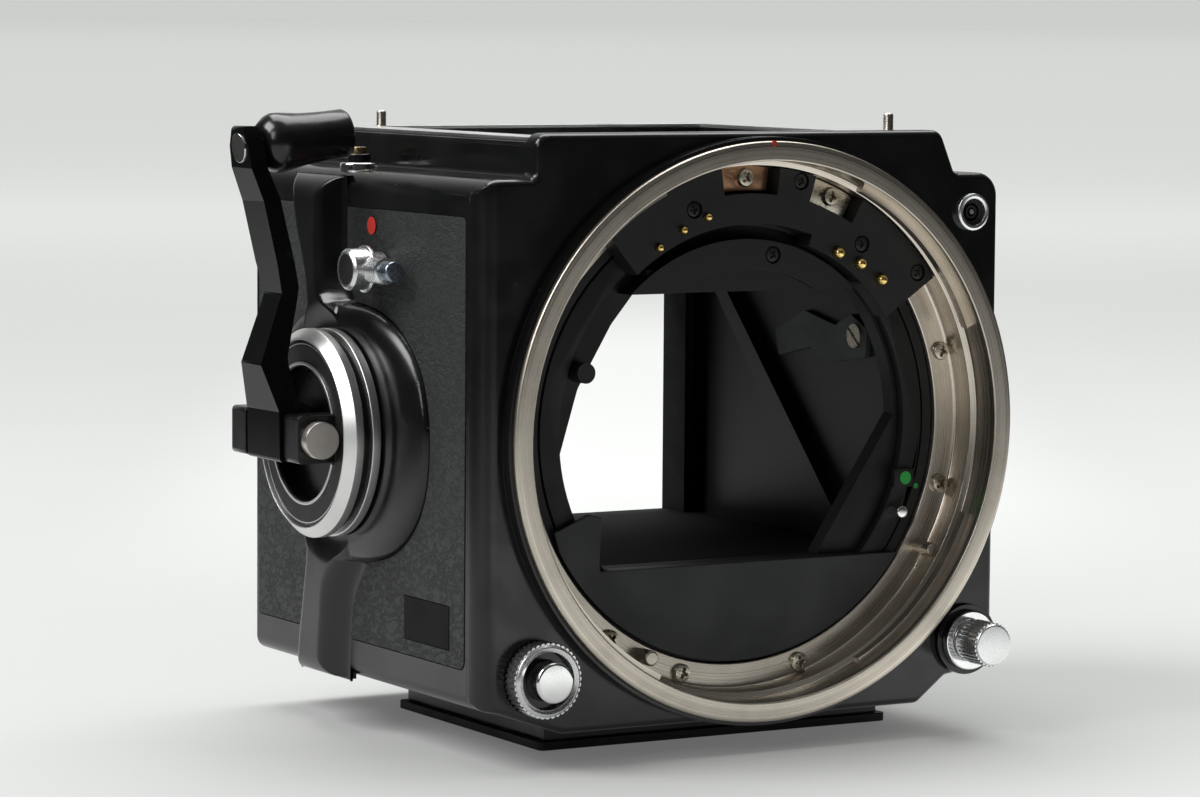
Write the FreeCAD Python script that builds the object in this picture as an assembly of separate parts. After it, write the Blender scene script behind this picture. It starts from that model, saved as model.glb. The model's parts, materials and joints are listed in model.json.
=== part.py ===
"""Medium format single lens reflex camera body, as an assembly of named pieces.

Millimetres. The origin is the mouth of the tripod socket, +Z is up, the lens side
faces -Y and the winding crank is on the -X side.
"""
import FreeCAD
import Part
import math
import os

Vec = FreeCAD.Vector

# General clearances and thicknesses
GAP = 0.3              # between pieces of different bodies
SEAT = 0.02            # between two static pieces that sit on each other
RUN = 0.05             # radial clearance of a shaft in its bore
WALL = 1.3             # thickness of the outer covers

# Lens mount ring, which the body is built around
RING_R = 36.8
RING_LIP_R = RING_R - 2.5
RING_LIP_L = 2.0
RING_BODY_R = RING_R - 2.55
RING_BORE_R = RING_R - 3.2
FLANGE_BORE_R = RING_R - 6.5
LUG_R = RING_R - 3.4
BOSS_R = RING_R + 0.5
MOUNT_SCREW_PCR = RING_R - 4.7
LOCK_PIN_PCR = RING_R - 4.3
RING_FRONT_Y = -32.0
RING_BODY_Y = -27.4
FLANGE_FRONT_Y = -24.0
FLANGE_T = 2.0
LUG_T = 1.3
LUG_GAP = 0.9
LUG_CENTRES = (43.0, 137.0, 222.5, 317.8)
LUG_SPAN = 43.0
BOSS_H = 1.7
WELL_T = 1.2
MOUNT_SCREW_R = 1.15
MOUNT_SCREW_ANGLES = (16.0, -15.5, -73.0, -105.0, -126.0, 164.0, 196.0)
STOP_POST_ANGLE = -116.0
STOP_POST_R = 1.0
STOP_POST_H = 2.4

# Body outline, seen from the front
LENS_Z = RING_R + 3.6
CRANK_SIDE_X = -RING_R - 3.7
FAR_SIDE_X = RING_R - 0.7
SIDE_FOOT_Z = 7.0
UNDER_Z = 3.8
TOP_Z = LENS_Z + RING_R + 1.1
SHOULDER_Z = TOP_Z - 5.55
SEAT_Z = TOP_Z - 0.6   # finder seat, a little below the front lip
STEP_CRANK_X = CRANK_SIDE_X + 7.8
STEP_FAR_TOP_X = FAR_SIDE_X - 9.0
STEP_FAR_LOW_X = FAR_SIDE_X - 6.7
UNDER_CRANK_X = CRANK_SIDE_X + 12.1
UNDER_FAR_X = FAR_SIDE_X - 11.5
CORNER_R = 3.0

# Body depth
FACE_Y = -29.5
PANEL_T = 3.0
PANEL_ROUND = 2.6      # rounding of the front panel's edge on the crank side
REAR_Y = 33.4
REAR_T = 3.0
REAR_FRAME_Y = REAR_Y - REAR_T

# Front aperture plate, baffle panel and cocking ring
APERTURE_R = RING_R - 11.5
APERTURE_T = 1.2
APERTURE_TOP = APERTURE_R - 7.8
APERTURE_FLOOR = APERTURE_R - 8.0
OPENING_SCALE = APERTURE_R / 25.3   # for the outlines drawn about the lens axis
CHORD_TOP = (25.24 * OPENING_SCALE, 0.6)
CHORD_LOW = (13.8 * OPENING_SCALE, -16.8 * OPENING_SCALE)
PLATE_BACK_T = 1.2
PLATE_LOW_Z = 8.0
COCK_INNER_R = APERTURE_R + 0.5
COCK_OUTER_R = COCK_INNER_R + 2.8
COCK_T = 1.2
DRIVE_PIN_R = 0.75
DRIVE_PIN_H = 2.2
DRIVE_PIN_ANGLE = -26.0
SIGNAL_ANGLE = -16.5
BAFFLE_PANEL_T = 0.7
RELEASE_POST_R = 1.3
RELEASE_POST_H = 2.6

# Contact blocks in the top of the mount
BLOCK_FRONT_Y = -27.0
BLOCK_INNER_R = RING_R - 10.6
BLOCK_FROM = 34.0
BLOCK_TO = 130.0
BLOCK_TAIL_R = BLOCK_INNER_R - 1.5
BLOCK_TAIL_TO = 70.0
LOWER_FRONT_Y = -25.2
LOWER_INNER_R = BLOCK_INNER_R - 5.7
LOWER_OUTER_R = BLOCK_INNER_R - 2.0
CONTACT_R = 0.75
CONTACT_SMALL_R = 0.5
CONTACT_PLACES = (     # outwards from the block's inner edge, angle, radius
    (-0.5, 60.0, CONTACT_R),
    (0.2, 52.0, CONTACT_R),
    (0.8, 43.7, CONTACT_R),
    (1.8, 104.0, CONTACT_SMALL_R),
    (1.4, 112.0, CONTACT_SMALL_R),
    (1.0, 120.5, CONTACT_SMALL_R),
)
CONTACT_H = 0.7
CONTACT_TRAVEL = 0.5
BRACKET_T = 1.1
SMALL_SCREW_R = 1.0

# Mirror box, mirror and rear baffle
BOX_HALF_X = 26.0
BOX_T = 1.4
BOX_FLOOR_Z = LENS_Z - 17.4
BOX_TOP_Z = SHOULDER_Z - 3.55
GATE_HALF_X = BOX_HALF_X - 3.0
GATE_TOP_Z = LENS_Z + 17.4
GATE_COLLAR_L = 3.0
PLATE_HALF_X = BOX_HALF_X + 0.6
MIRROR_HINGE_Y = REAR_FRAME_Y - 3.2
MIRROR_HINGE_Z = BOX_TOP_Z - 3.8
MIRROR_HALF_X = BOX_HALF_X - 1.6
MIRROR_L = 44.0
MIRROR_T = 1.6
HOLDER_T = 1.1
FLAP_HINGE_Y = MIRROR_HINGE_Y - 0.7
FLAP_HINGE_Z = MIRROR_HINGE_Z - 4.1
FLAP_HALF_X = BOX_HALF_X - 2.5
FLAP_L = 36.5
FLAP_T = 0.8
HINGE_R = 0.9
KNUCKLE_R = 1.7

# Finder seat and focusing screen
WELL_HALF_X = BOX_HALF_X - 2.4
WELL_FRONT_Y = -17.0
WELL_REAR_Y = REAR_Y - 7.4
SCREEN_Z = SHOULDER_Z - 1.15
SCREEN_T = 1.4
SCREEN_LEDGE = 1.6
RIM_T = 0.5
FINDER_PIN_R = 0.65
FINDER_PIN_H = 2.1
FINDER_SHANK_R = 1.1

# Base
PLATE_HALF_L = 26.16
PLATE_HALF_W = 19.6
PLATE_T = 1.1
PEDESTAL_INSET = 1.0
TRIPOD_R = 3.175
TRIPOD_DEPTH = 6.5
TRIPOD_BODY_R = 5.2
BASE_SCREW_R = 1.9

# Winding side
DIAL_Y = 5.4
DIAL_Z = LENS_Z - 1.3
DIAL_FRONT_X = CRANK_SIDE_X - 7.1
DIAL_R = 13.45
DIAL_RING_W = 1.4
DIAL_RING_L = 2.3
DIAL_BEVEL = 1.2
DIAL_GROOVE_L = 1.2
DIAL_FACE_X = DIAL_FRONT_X + 0.4
DIAL_BACK_X = CRANK_SIDE_X - 2.4
DIAL_RECESS_X = DIAL_BACK_X - 2.3      # floor of the recess that the crank's foot swings in
DIAL_RECESS_R = 8.7
DIAL_SEAT_X = DIAL_BACK_X - 1.5        # end of the winding shaft
TRIM_W = 0.4
DOME_HALF_Y = DIAL_R + 8.35      # the boss round the dial is wider than it is high
DOME_HALF_Z = DIAL_R + 3.25
DOME_POWER = 2.35
DOME_X = CRANK_SIDE_X - 2.1
SPINE_X = CRANK_SIDE_X - 2.6
SPINE_TOP_Z = SHOULDER_Z - 0.75
SPINE_FOOT_Z = 5.9
SPINE_FRONT_Y = DIAL_Y + 1.2     # at the top; the ridge is narrowest at the dial
SPINE_REAR_Y = DIAL_Y + 11.6     # at the dial
SPINE_FLARE = 4.6                # its rear edge runs back by this at the top
SPINE_LOW_FLARE = 2.7            # and by this at the foot
SHAFT_R = 3.0
BUSH_R = 4.6
PIN_X = CRANK_SIDE_X - 9.5
PIN_Z = DIAL_Z + 0.1
PIN_R = 1.6
PIN_HEAD_R = 2.35
PIN_HEAD_L = 2.0
FOOT_HALF_Y = 4.7
CHEEK_T = 4.1
CHEEK_HALF_Z = 3.05
ARM_T = 2.3
ARM_BOSS_R = 2.8
AXLE_X = PIN_X - 6.4
AXLE_Z = PIN_Z + 36.5
AXLE_TILT = 6.7
AXLE_R = 1.2
AXLE_HEAD_R = 1.9
GRIP_L = 12.2

# Gear train to the film back
MODULE = 0.5
DRIVE_TEETH = 36
IDLER_TEETH = 30
OUTPUT_TEETH = 24
GEAR_X = CRANK_SIDE_X + 3.2
GEAR_T = 2.4
BACKLASH = 0.16
IDLER_ANGLE = -37.4
OUTPUT_ANGLE = -41.6
STUD_R = 1.8

# Multiple exposure lever
MULTI_Y = -3.9
MULTI_Z = DIAL_Z + DIAL_R + 8.05
MULTI_R = 2.65
MULTI_FRONT_X = CRANK_SIDE_X - 5.5
MULTI_THUMB_R = 1.7
MULTI_THUMB_L = 7.7
MULTI_TIP_L = 2.6
RED_DOT_R = 1.2

# Controls on the front, placed round the mount boss
COLLAR_R = 4.75
COLLAR_BORE_R = 3.6
COLLAR_FRONT_Y = -32.5
COLLAR_TEETH = 36
COLLAR_TO_BOSS = 1.45
RELEASE_ANGLE = 222.344
BUTTON_R = 2.55
BUTTON_FRONT_Y = -34.1
BUTTON_TRAVEL = 1.6
SOCKET_R = 3.9
SOCKET_TO_BOSS = 1.28
SOCKET_ANGLE = -42.138
SOCKET_FRONT_Y = -31.5
CAP_R = 2.9
CAP_FRONT_Y = -36.6
CAP_TEETH = 28
FLASH_X = FAR_SIDE_X - 4.4
FLASH_Z = SHOULDER_Z - 5.05
FLASH_R = 2.4

# Finder release button on the crank-side shoulder
FINDER_BUTTON_X = CRANK_SIDE_X + 4.0
FINDER_BUTTON_Y = 11.2
FINDER_BUTTON_R = 1.0
FINDER_BUTTON_TOP_Z = SHOULDER_Z + 2.75
FINDER_BASE_R = 2.3
FINDER_BASE_H = 0.75
FINDER_COLLAR_R = 1.55
FINDER_COLLAR_H = 1.1
FINDER_SUNK = 0.35
FINDER_TRAVEL = 1.2

# Controls on the far side
SPEED_Y = 8.0
SPEED_Z = LENS_Z + 11.6
SPEED_R = 10.5
SPEED_H = 5.2
CHECK_Y = -13.0
CHECK_Z = LENS_Z + 21.6
CHECK_R = 2.2
CHECK_H = 1.8
LENS_LEVER_Y = -19.0
LENS_LEVER_Z = LENS_Z - 16.2
LENS_LEVER_TRAVEL = 4.0
LOCK_PIN_R = 0.8
LOCK_PIN_ANGLE = -31.0
LOCK_PIN_TIP_Y = -27.5
LOCK_PIN_L = 6.6
LOCK_PIN_TRAVEL = 3.5

# Leather
LEATHER_T = 0.6
LEATHER_PROUD = 0.12
LEATHER_GAP = 0.12
LEATHER_TOP_Z = SHOULDER_Z - 4.75
LEATHER_LOW_Z = 12.2
LEATHER_FRONT_Y = -25.9
LEATHER_REAR_Y = REAR_Y - 0.8
BADGE_Y = (-22.0, -10.0)
BADGE_Z = (14.2, 19.6)
BADGE_T = 0.4

# Battery and electronics
BATTERY_R = 5.8
BATTERY_HALF_L = 10.8
BATTERY_Y = REAR_Y - 7.5
BATTERY_Z = UNDER_Z + 7.4
CHAMBER_T = 1.2
LID_HALF_X = BATTERY_HALF_L + 3.2
LID_FRONT_Y = BATTERY_Y - 5.6
LID_REAR_Y = BATTERY_Y + 5.5
LID_T = 0.8
LID_HINGE_Y = LID_REAR_Y - 0.3
LID_HINGE_Z = UNDER_Z + 0.5
LID_HINGE_R = 0.4

# Sizes worked out from the ones above
PANEL_BACK_Y = FACE_Y + PANEL_T
COVER_FRONT_Y = PANEL_BACK_Y + SEAT
COVER_REAR_Y = REAR_Y
FLANGE_BACK_Y = FLANGE_FRONT_Y + FLANGE_T
APERTURE_FRONT_Y = FLANGE_BACK_Y + 0.2
PLATE_FRONT_Y = APERTURE_FRONT_Y + APERTURE_T
PLATE_BACK_Y = PLATE_FRONT_Y + PLATE_BACK_T
BOX_FRONT_Y = PLATE_BACK_Y + SEAT
PEDESTAL_Z = PLATE_T + SEAT
INNER_FAR_X = FAR_SIDE_X - WALL
BOX_OUTER_X = BOX_HALF_X + BOX_T
FAR_ROOM = INNER_FAR_X - BOX_OUTER_X
DRIVE_R = MODULE * DRIVE_TEETH / 2
IDLER_R = MODULE * IDLER_TEETH / 2
OUTPUT_R = MODULE * OUTPUT_TEETH / 2
RELEASE_DISTANCE = BOSS_R + COLLAR_R + COLLAR_TO_BOSS
RELEASE_X = RELEASE_DISTANCE * math.cos(math.radians(RELEASE_ANGLE))
RELEASE_Z = LENS_Z + RELEASE_DISTANCE * math.sin(math.radians(RELEASE_ANGLE))
SOCKET_DISTANCE = BOSS_R + SOCKET_R + SOCKET_TO_BOSS
SOCKET_X = SOCKET_DISTANCE * math.cos(math.radians(SOCKET_ANGLE))
SOCKET_Z = LENS_Z + SOCKET_DISTANCE * math.sin(math.radians(SOCKET_ANGLE))


def box(x0, x1, y0, y1, z0, z1):
    return Part.makeBox(x1 - x0, y1 - y0, z1 - z0, Vec(x0, y0, z0))


def rod_x(radius, x0, x1, y, z):
    return Part.makeCylinder(radius, x1 - x0, Vec(x0, y, z), Vec(1, 0, 0))


def rod_y(radius, y0, y1, x, z):
    return Part.makeCylinder(radius, y1 - y0, Vec(x, y0, z), Vec(0, 1, 0))


def rod_z(radius, z0, z1, x, y):
    return Part.makeCylinder(radius, z1 - z0, Vec(x, y, z0), Vec(0, 0, 1))


def rounded_wire(corners, place):
    """Closed wire through corners (u, v, radius); place turns (u, v) into a point."""
    edges = []
    count = len(corners)
    starts = []
    ends = []
    mids = []
    for i in range(count):
        u, v, radius = corners[i]
        here = Vec(u, v, 0)
        before = Vec(corners[i - 1][0], corners[i - 1][1], 0) - here
        after = Vec(corners[(i + 1) % count][0], corners[(i + 1) % count][1], 0) - here
        before.normalize()
        after.normalize()
        if radius == 0:
            starts.append(here)
            ends.append(here)
            mids.append(None)
            continue
        half = before.getAngle(after) / 2
        reach = radius / math.tan(half)
        bisector = before + after
        bisector.normalize()
        centre = here + bisector * (radius / math.sin(half))
        starts.append(here + before * reach)
        ends.append(here + after * reach)
        mids.append(centre - bisector * radius)
    for i in range(count):
        if mids[i] is not None:
            arc = [place(p.x, p.y) for p in (starts[i], mids[i], ends[i])]
            edges.append(Part.Arc(*arc).toShape())
        following = starts[(i + 1) % count]
        if (following - ends[i]).Length > 1e-6:
            line = (place(ends[i].x, ends[i].y), place(following.x, following.y))
            edges.append(Part.LineSegment(*line).toShape())
    return Part.Wire(edges)


def prism_x(corners, x0, x1):
    """Solid between two X planes from corners (y, z, radius)."""
    wire = rounded_wire(corners, lambda u, v: Vec(x0, u, v))
    return Part.Face(wire).extrude(Vec(x1 - x0, 0, 0))


def prism_y(corners, y0, y1):
    """Solid between two Y planes from corners (x, z, radius)."""
    wire = rounded_wire(corners, lambda u, v: Vec(u, y0, v))
    return Part.Face(wire).extrude(Vec(0, y1 - y0, 0))


def prism_z(corners, z0, z1):
    """Solid between two Z planes from corners (x, y, radius)."""
    wire = rounded_wire(corners, lambda u, v: Vec(u, v, z0))
    return Part.Face(wire).extrude(Vec(0, 0, z1 - z0))


def sharp(points):
    return [(u, v, 0) for u, v in points]


def lathe_y(profile):
    """Solid of revolution about the lens axis from points (radius, y)."""
    points = [Vec(r, y, LENS_Z) for r, y in profile]
    face = Part.Face(Part.makePolygon(points + points[:1]))
    return face.revolve(Vec(0, 0, LENS_Z), Vec(0, 1, 0), 360)


def lathe_x(profile, y, z):
    """Solid of revolution about an X axis through (y, z) from points (x, radius)."""
    points = [Vec(x, y + r, z) for x, r in profile]
    face = Part.Face(Part.makePolygon(points + points[:1]))
    return face.revolve(Vec(0, y, z), Vec(1, 0, 0), 360)


def layered(layers, outline):
    """Raised form from layers (x, inset), each with the outline that its inset gives."""
    wires = [outline(x, inset) for x, inset in layers]
    return Part.makeLoft(wires, True, True)


def dome_wire(x, inset):
    """Outline of the boss round the dial at x, drawn in by inset from its foot."""
    half_y = DOME_HALF_Y - inset
    half_z = DOME_HALF_Z - inset * (DOME_HALF_Z - DIAL_R - 1.3) / (DOME_HALF_Y - DIAL_R - 1.3)
    points = []
    steps = 48
    for i in range(steps):
        turn = 2 * math.pi * i / steps
        across = math.copysign(abs(math.cos(turn)) ** (2 / DOME_POWER), math.cos(turn))
        rise = math.copysign(abs(math.sin(turn)) ** (2 / DOME_POWER), math.sin(turn))
        points.append(Vec(x, DIAL_Y + half_y * across, DIAL_Z + half_z * rise))
    return Part.Wire(Part.makePolygon(points + points[:1]).Edges)


def spine_wire(x, inset, over=1.0):
    """Outline of the ridge at x, its front and rear edges drawn in by inset."""
    front = SPINE_FRONT_Y + inset
    rear = SPINE_REAR_Y - inset
    top = SPINE_TOP_Z + over
    foot = SPINE_FOOT_Z - over
    low = DIAL_Z - DOME_HALF_Z
    high = DIAL_Z + DOME_HALF_Z
    corners = [(front, top, 0), (front, high + 3.0, 3.0), (front - 3.4, high - 1.2, 2.5),
               (front - 3.4, DIAL_Z, 0), (front - 6.6, low + 1.2, 2.0), (front - 2.2, low - 4.6, 4.0),
               (front - 1.2, foot + 5, 3.0), (front - 1.2, foot, 0),
               (rear + SPINE_LOW_FLARE, foot, 0), (rear + SPINE_LOW_FLARE, foot + 5.5, 4.0),
               (rear, low + 1.0, 6.0), (rear, high + 0.2, 6.0), (rear + SPINE_FLARE - 0.6, top - 7.0, 6.0),
               (rear + SPINE_FLARE, top, 0)]
    return rounded_wire(corners, lambda u, v: Vec(x, u, v))


def tube_y(outer, inner, y0, y1, x, z):
    return rod_y(outer, y0, y1, x, z).cut(rod_y(inner, y0 - 1, y1 + 1, x, z))


def tube_x(outer, inner, x0, x1, y, z):
    return rod_x(outer, x0, x1, y, z).cut(rod_x(inner, x0 - 1, x1 + 1, y, z))


def on_circle(radius, degrees):
    """Point (x, z) on a circle about the lens axis, anticlockwise from the front."""
    turn = math.radians(degrees)
    return radius * math.cos(turn), LENS_Z + radius * math.sin(turn)


def about_axis(corners):
    """Corners (x, height above the lens axis, radius), scaled with the aperture."""
    return [(x * OPENING_SCALE, LENS_Z + h * OPENING_SCALE, radius) for x, h, radius in corners]


def sector(inner, outer, start, end, y0, y1):
    """Part of a ring about the lens axis between two angles."""
    middle = (start + end) / 2
    points = []
    for radius, angles in ((outer, (start, middle, end)), (inner, (end, middle, start))):
        points.append([Vec(on_circle(radius, a)[0], y0, on_circle(radius, a)[1]) for a in angles])
    edges = [Part.Arc(*points[0]).toShape(),
             Part.LineSegment(points[0][2], points[1][0]).toShape(),
             Part.Arc(*points[1]).toShape(),
             Part.LineSegment(points[1][2], points[0][0]).toShape()]
    return Part.Face(Part.Wire(edges)).extrude(Vec(0, y1 - y0, 0))


def fuse(first, *others):
    shape = first
    for other in others:
        shape = shape.fuse(other)
    return shape.removeSplitter()


def cut(shape, *tools):
    for tool in tools:
        shape = shape.cut(tool)
    return shape


def group(shapes):
    return Part.makeCompound(shapes)


NODES = {}


def keep(name, shape):
    NODES[name] = shape


def body_corners(inset):
    """Corners of the body outline (x, z, radius), drawn in by inset."""
    outer = max(CORNER_R - inset, 0.4)
    left = CRANK_SIDE_X + inset
    right = FAR_SIDE_X - inset
    under = UNDER_Z + inset
    foot = SIDE_FOOT_Z + inset
    shoulder = SHOULDER_Z - inset
    top = TOP_Z - inset
    return [
        (left, foot + 0.6, outer * 0.6),
        (left, shoulder, outer),
        (STEP_CRANK_X + inset, shoulder, 0.8),
        (STEP_CRANK_X + inset, top, 1.8),
        (STEP_FAR_TOP_X - inset, top, 1.8),
        (STEP_FAR_LOW_X - inset, shoulder, 0.8),
        (right, shoulder, outer),
        (right, foot + 5.0, 2.4),
        (right - 3.8, foot + 0.6, 2.0),
        (UNDER_FAR_X + 4.4, foot + 0.2, 1.5),
        (UNDER_FAR_X, under, 1.5),
        (UNDER_CRANK_X, under, 1.5),
        (UNDER_CRANK_X - 8.8, foot - 0.2, 1.5),
    ]


def lock_pin_bore(clearance=RUN):
    """Bore along Y for the lens lock pin, behind and in front of the flange."""
    x, z = on_circle(LOCK_PIN_PCR, LOCK_PIN_ANGLE)
    back = LOCK_PIN_TIP_Y + LOCK_PIN_L + LOCK_PIN_TRAVEL + GAP
    return rod_y(LOCK_PIN_R + clearance, LOCK_PIN_TIP_Y - GAP, back, x, z)


def screw_y(x, z, radius, face_y, head, shank_r, shank, cross=True):
    """Pan-head screw along Y with its seat on the plane face_y, head towards -Y."""
    body = rod_y(radius, face_y - head, face_y, x, z)
    rim = [edge for edge in body.Edges if abs(edge.CenterOfMass.y - (face_y - head)) < 1e-6]
    body = body.makeFillet(head * 0.45, rim[:1])
    body = body.fuse(rod_y(shank_r, face_y, face_y + shank, x, z))
    slot = radius * 0.6
    half = radius * 0.13
    depth = head * 0.55
    body = body.cut(box(x - slot, x + slot, face_y - head - 1, face_y - head + depth, z - half, z + half))
    if cross:
        body = body.cut(box(x - half, x + half, face_y - head - 1, face_y - head + depth,
                            z - slot, z + slot))
    return body


def build_front_panel():
    """Front casting: outline plate, round boss, well that the mount ring sits in."""
    panel = prism_y(body_corners(0), FACE_Y, PANEL_BACK_Y)
    rim = []
    for edge in panel.Edges:
        middle = edge.CenterOfMass
        if abs(middle.y - FACE_Y) < 1e-6:
            rim.append(edge)
    panel = panel.makeFillet(0.9, rim)
    far = 200
    panel = panel.common(prism_z([(CRANK_SIDE_X, FACE_Y, PANEL_ROUND), (far, FACE_Y, 0), (far, far, 0),
                                  (CRANK_SIDE_X, far, 0)], -far, far))
    boss = rod_y(BOSS_R, FACE_Y - BOSS_H, PANEL_BACK_Y, 0, LENS_Z)
    well = rod_y(RING_BODY_R + WELL_T, PANEL_BACK_Y - 1, PLATE_FRONT_Y, 0, LENS_Z)
    inside = box(CRANK_SIDE_X + WALL + GAP, INNER_FAR_X - 0.1, PANEL_BACK_Y - 1, PLATE_FRONT_Y,
                 UNDER_Z + WALL + 0.1, TOP_Z - 1.5)
    well = well.common(inside)
    spigot = rod_y(COLLAR_BORE_R - RUN, FACE_Y - 1.7, PANEL_BACK_Y, RELEASE_X, RELEASE_Z)
    pad = rod_y(SOCKET_R + 0.7, FACE_Y - 0.9, PANEL_BACK_Y, SOCKET_X, SOCKET_Z)
    panel = fuse(panel, boss, well, spigot, pad)
    return cut(
        panel,
        rod_y(RING_R + SEAT, FACE_Y - 9, RING_BODY_Y, 0, LENS_Z),
        rod_y(RING_BODY_R + SEAT, RING_BODY_Y - 1, FLANGE_BACK_Y, 0, LENS_Z),
        rod_y(FLANGE_BORE_R + 0.2, FLANGE_BACK_Y - 1, PLATE_FRONT_Y + 1, 0, LENS_Z),
        rod_y(BUTTON_R + RUN, FACE_Y - 3, PANEL_BACK_Y - 0.7, RELEASE_X, RELEASE_Z),
        rod_y(1.2 + RUN, PANEL_BACK_Y - 2, PANEL_BACK_Y + 1, RELEASE_X, RELEASE_Z),
        rod_y(SOCKET_R - 0.6 + SEAT, FACE_Y - 3, PANEL_BACK_Y + 1, SOCKET_X, SOCKET_Z),
        rod_y(FLASH_R - 0.3 + SEAT, FACE_Y - 3, PANEL_BACK_Y + 1, FLASH_X, FLASH_Z),
        lock_pin_bore(),
    )


def build_mount():
    """Lens mount ring with its lugs and stop post; returns the flange screws."""
    lip_back = RING_FRONT_Y + RING_LIP_L
    ring = lathe_y([
        (RING_LIP_R, RING_FRONT_Y + 0.2), (RING_LIP_R + 0.2, RING_FRONT_Y),
        (RING_R - 0.35, RING_FRONT_Y), (RING_R, RING_FRONT_Y + 0.35),
        (RING_R, RING_BODY_Y - SEAT), (RING_BODY_R, RING_BODY_Y - SEAT),
        (RING_BODY_R, FLANGE_BACK_Y - SEAT), (FLANGE_BORE_R, FLANGE_BACK_Y - SEAT),
        (FLANGE_BORE_R, FLANGE_FRONT_Y), (RING_BORE_R, FLANGE_FRONT_Y),
        (RING_BORE_R, RING_BODY_Y), (RING_LIP_R, lip_back + LUG_T + LUG_GAP),
    ])
    lugs = []
    for centre in LUG_CENTRES:
        lugs.append(sector(LUG_R, RING_LIP_R + 0.3, centre - LUG_SPAN / 2, centre + LUG_SPAN / 2,
                           lip_back, lip_back + LUG_T))
    ring = fuse(ring, *lugs)
    screws = []
    for angle in MOUNT_SCREW_ANGLES:
        x, z = on_circle(MOUNT_SCREW_PCR, angle)
        screws.append(screw_y(x, z, MOUNT_SCREW_R, FLANGE_FRONT_Y - SEAT, 0.8, 0.6, FLANGE_T - 0.4))
        ring = ring.cut(rod_y(0.6 + SEAT, FLANGE_FRONT_Y - 1, FLANGE_BACK_Y + 1, x, z))
    x, z = on_circle(MOUNT_SCREW_PCR - 0.4, STOP_POST_ANGLE)
    ring = fuse(ring, rod_y(STOP_POST_R, FLANGE_FRONT_Y - STOP_POST_H, FLANGE_BACK_Y - 0.5, x, z))
    ring = ring.cut(lock_pin_bore())
    keep("lens_mount_ring", ring)
    return screws


def build_aperture():
    """Front aperture plate, lower baffle panel, cocking ring and its pins."""
    disc = rod_y(FLANGE_BORE_R - 0.1, APERTURE_FRONT_Y, PLATE_FRONT_Y, 0, LENS_Z)
    rim = tube_y(FLANGE_BORE_R - 0.1, COCK_OUTER_R + GAP, FLANGE_FRONT_Y + 0.8, PLATE_FRONT_Y, 0, LENS_Z)
    back = box(-PLATE_HALF_X, PLATE_HALF_X, PLATE_FRONT_Y + SEAT, PLATE_BACK_Y, PLATE_LOW_Z, BOX_TOP_Z)
    disc = disc.fuse(rod_y(FLANGE_BORE_R - 0.1, PLATE_FRONT_Y - 0.1, PLATE_BACK_Y, 0, LENS_Z))
    plate = fuse(disc, back, rim)
    opening = rod_y(APERTURE_R, APERTURE_FRONT_Y - 3, PLATE_BACK_Y + 1, 0, LENS_Z)
    window = box(-40, 40, APERTURE_FRONT_Y - 3, PLATE_BACK_Y + 1,
                 LENS_Z - APERTURE_FLOOR, LENS_Z + APERTURE_TOP)
    opening = opening.common(window)
    chord = prism_y(sharp([(CHORD_TOP[0], LENS_Z + CHORD_TOP[1]), (40, LENS_Z + CHORD_TOP[1]),
                           (40, LENS_Z - 30), (CHORD_LOW[0] - 2, LENS_Z - 30),
                           (CHORD_LOW[0], LENS_Z + CHORD_LOW[1])]),
                    APERTURE_FRONT_Y - 4, PLATE_BACK_Y + 2)
    shield = prism_y(about_axis([(-26, 18, 0), (-13.9, 18, 0), (-17.6, 13.6, 4.0), (-22.4, 5.6, 3.0),
                                 (-25.2, -3.6, 1.0), (-23.9, -11, 1.0), (-23.9, -18, 0), (-26, -18, 0)]),
                     APERTURE_FRONT_Y - 4, PLATE_BACK_Y + 2)
    plate = plate.cut(opening.cut(chord).cut(shield))
    post_x, post_z = on_circle(APERTURE_R - 1.4, 161)
    plate = fuse(plate, rod_y(RELEASE_POST_R, APERTURE_FRONT_Y - RELEASE_POST_H, APERTURE_FRONT_Y + 0.5,
                              post_x, post_z))

    cock_back = APERTURE_FRONT_Y - GAP
    ring = tube_y(COCK_OUTER_R, COCK_INNER_R, cock_back - COCK_T, cock_back, 0, LENS_Z)
    middle_r = (COCK_INNER_R + COCK_OUTER_R) / 2
    pin_x, pin_z = on_circle(middle_r, DRIVE_PIN_ANGLE)
    pin = rod_y(DRIVE_PIN_R, cock_back - COCK_T - DRIVE_PIN_H, cock_back - 0.2, pin_x, pin_z)
    tab_x, tab_z = on_circle(middle_r - 0.3, SIGNAL_ANGLE)
    tab_front = cock_back - COCK_T - 0.75
    tab = box(tab_x - 1.7, tab_x + 1.3, tab_front, cock_back - COCK_T + 0.2, tab_z - 1.2, tab_z + 1.2)
    keep("cocking_ring", fuse(ring, pin, tab))
    keep("front_aperture_plate", plate)

    panel_front = cock_back - COCK_T - GAP - BAFFLE_PANEL_T
    segment = box(-40, 40, panel_front - 1, PLATE_BACK_Y, 0, LENS_Z - APERTURE_FLOOR)
    face = rod_y(FLANGE_BORE_R - 0.3, panel_front, panel_front + BAFFLE_PANEL_T, 0, LENS_Z)
    block = rod_y(COCK_INNER_R - GAP, panel_front, APERTURE_FRONT_Y - SEAT, 0, LENS_Z)
    wing = prism_y(about_axis([(-27.0, -12.1, 0), (-22.0, -10.0, 0), (-20.2, -10.5, 0), (-20.4, -16.8, 0),
                               (-18.0, -26.4, 0), (-25.0, -18.4, 0)]),
                   panel_front, panel_front + BAFFLE_PANEL_T)
    panel = fuse(face.fuse(block).common(segment), wing.common(
        rod_y(FLANGE_BORE_R - 0.3, panel_front - 1, PLATE_BACK_Y, 0, LENS_Z)))
    keep("lower_baffle_panel", panel)


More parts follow.
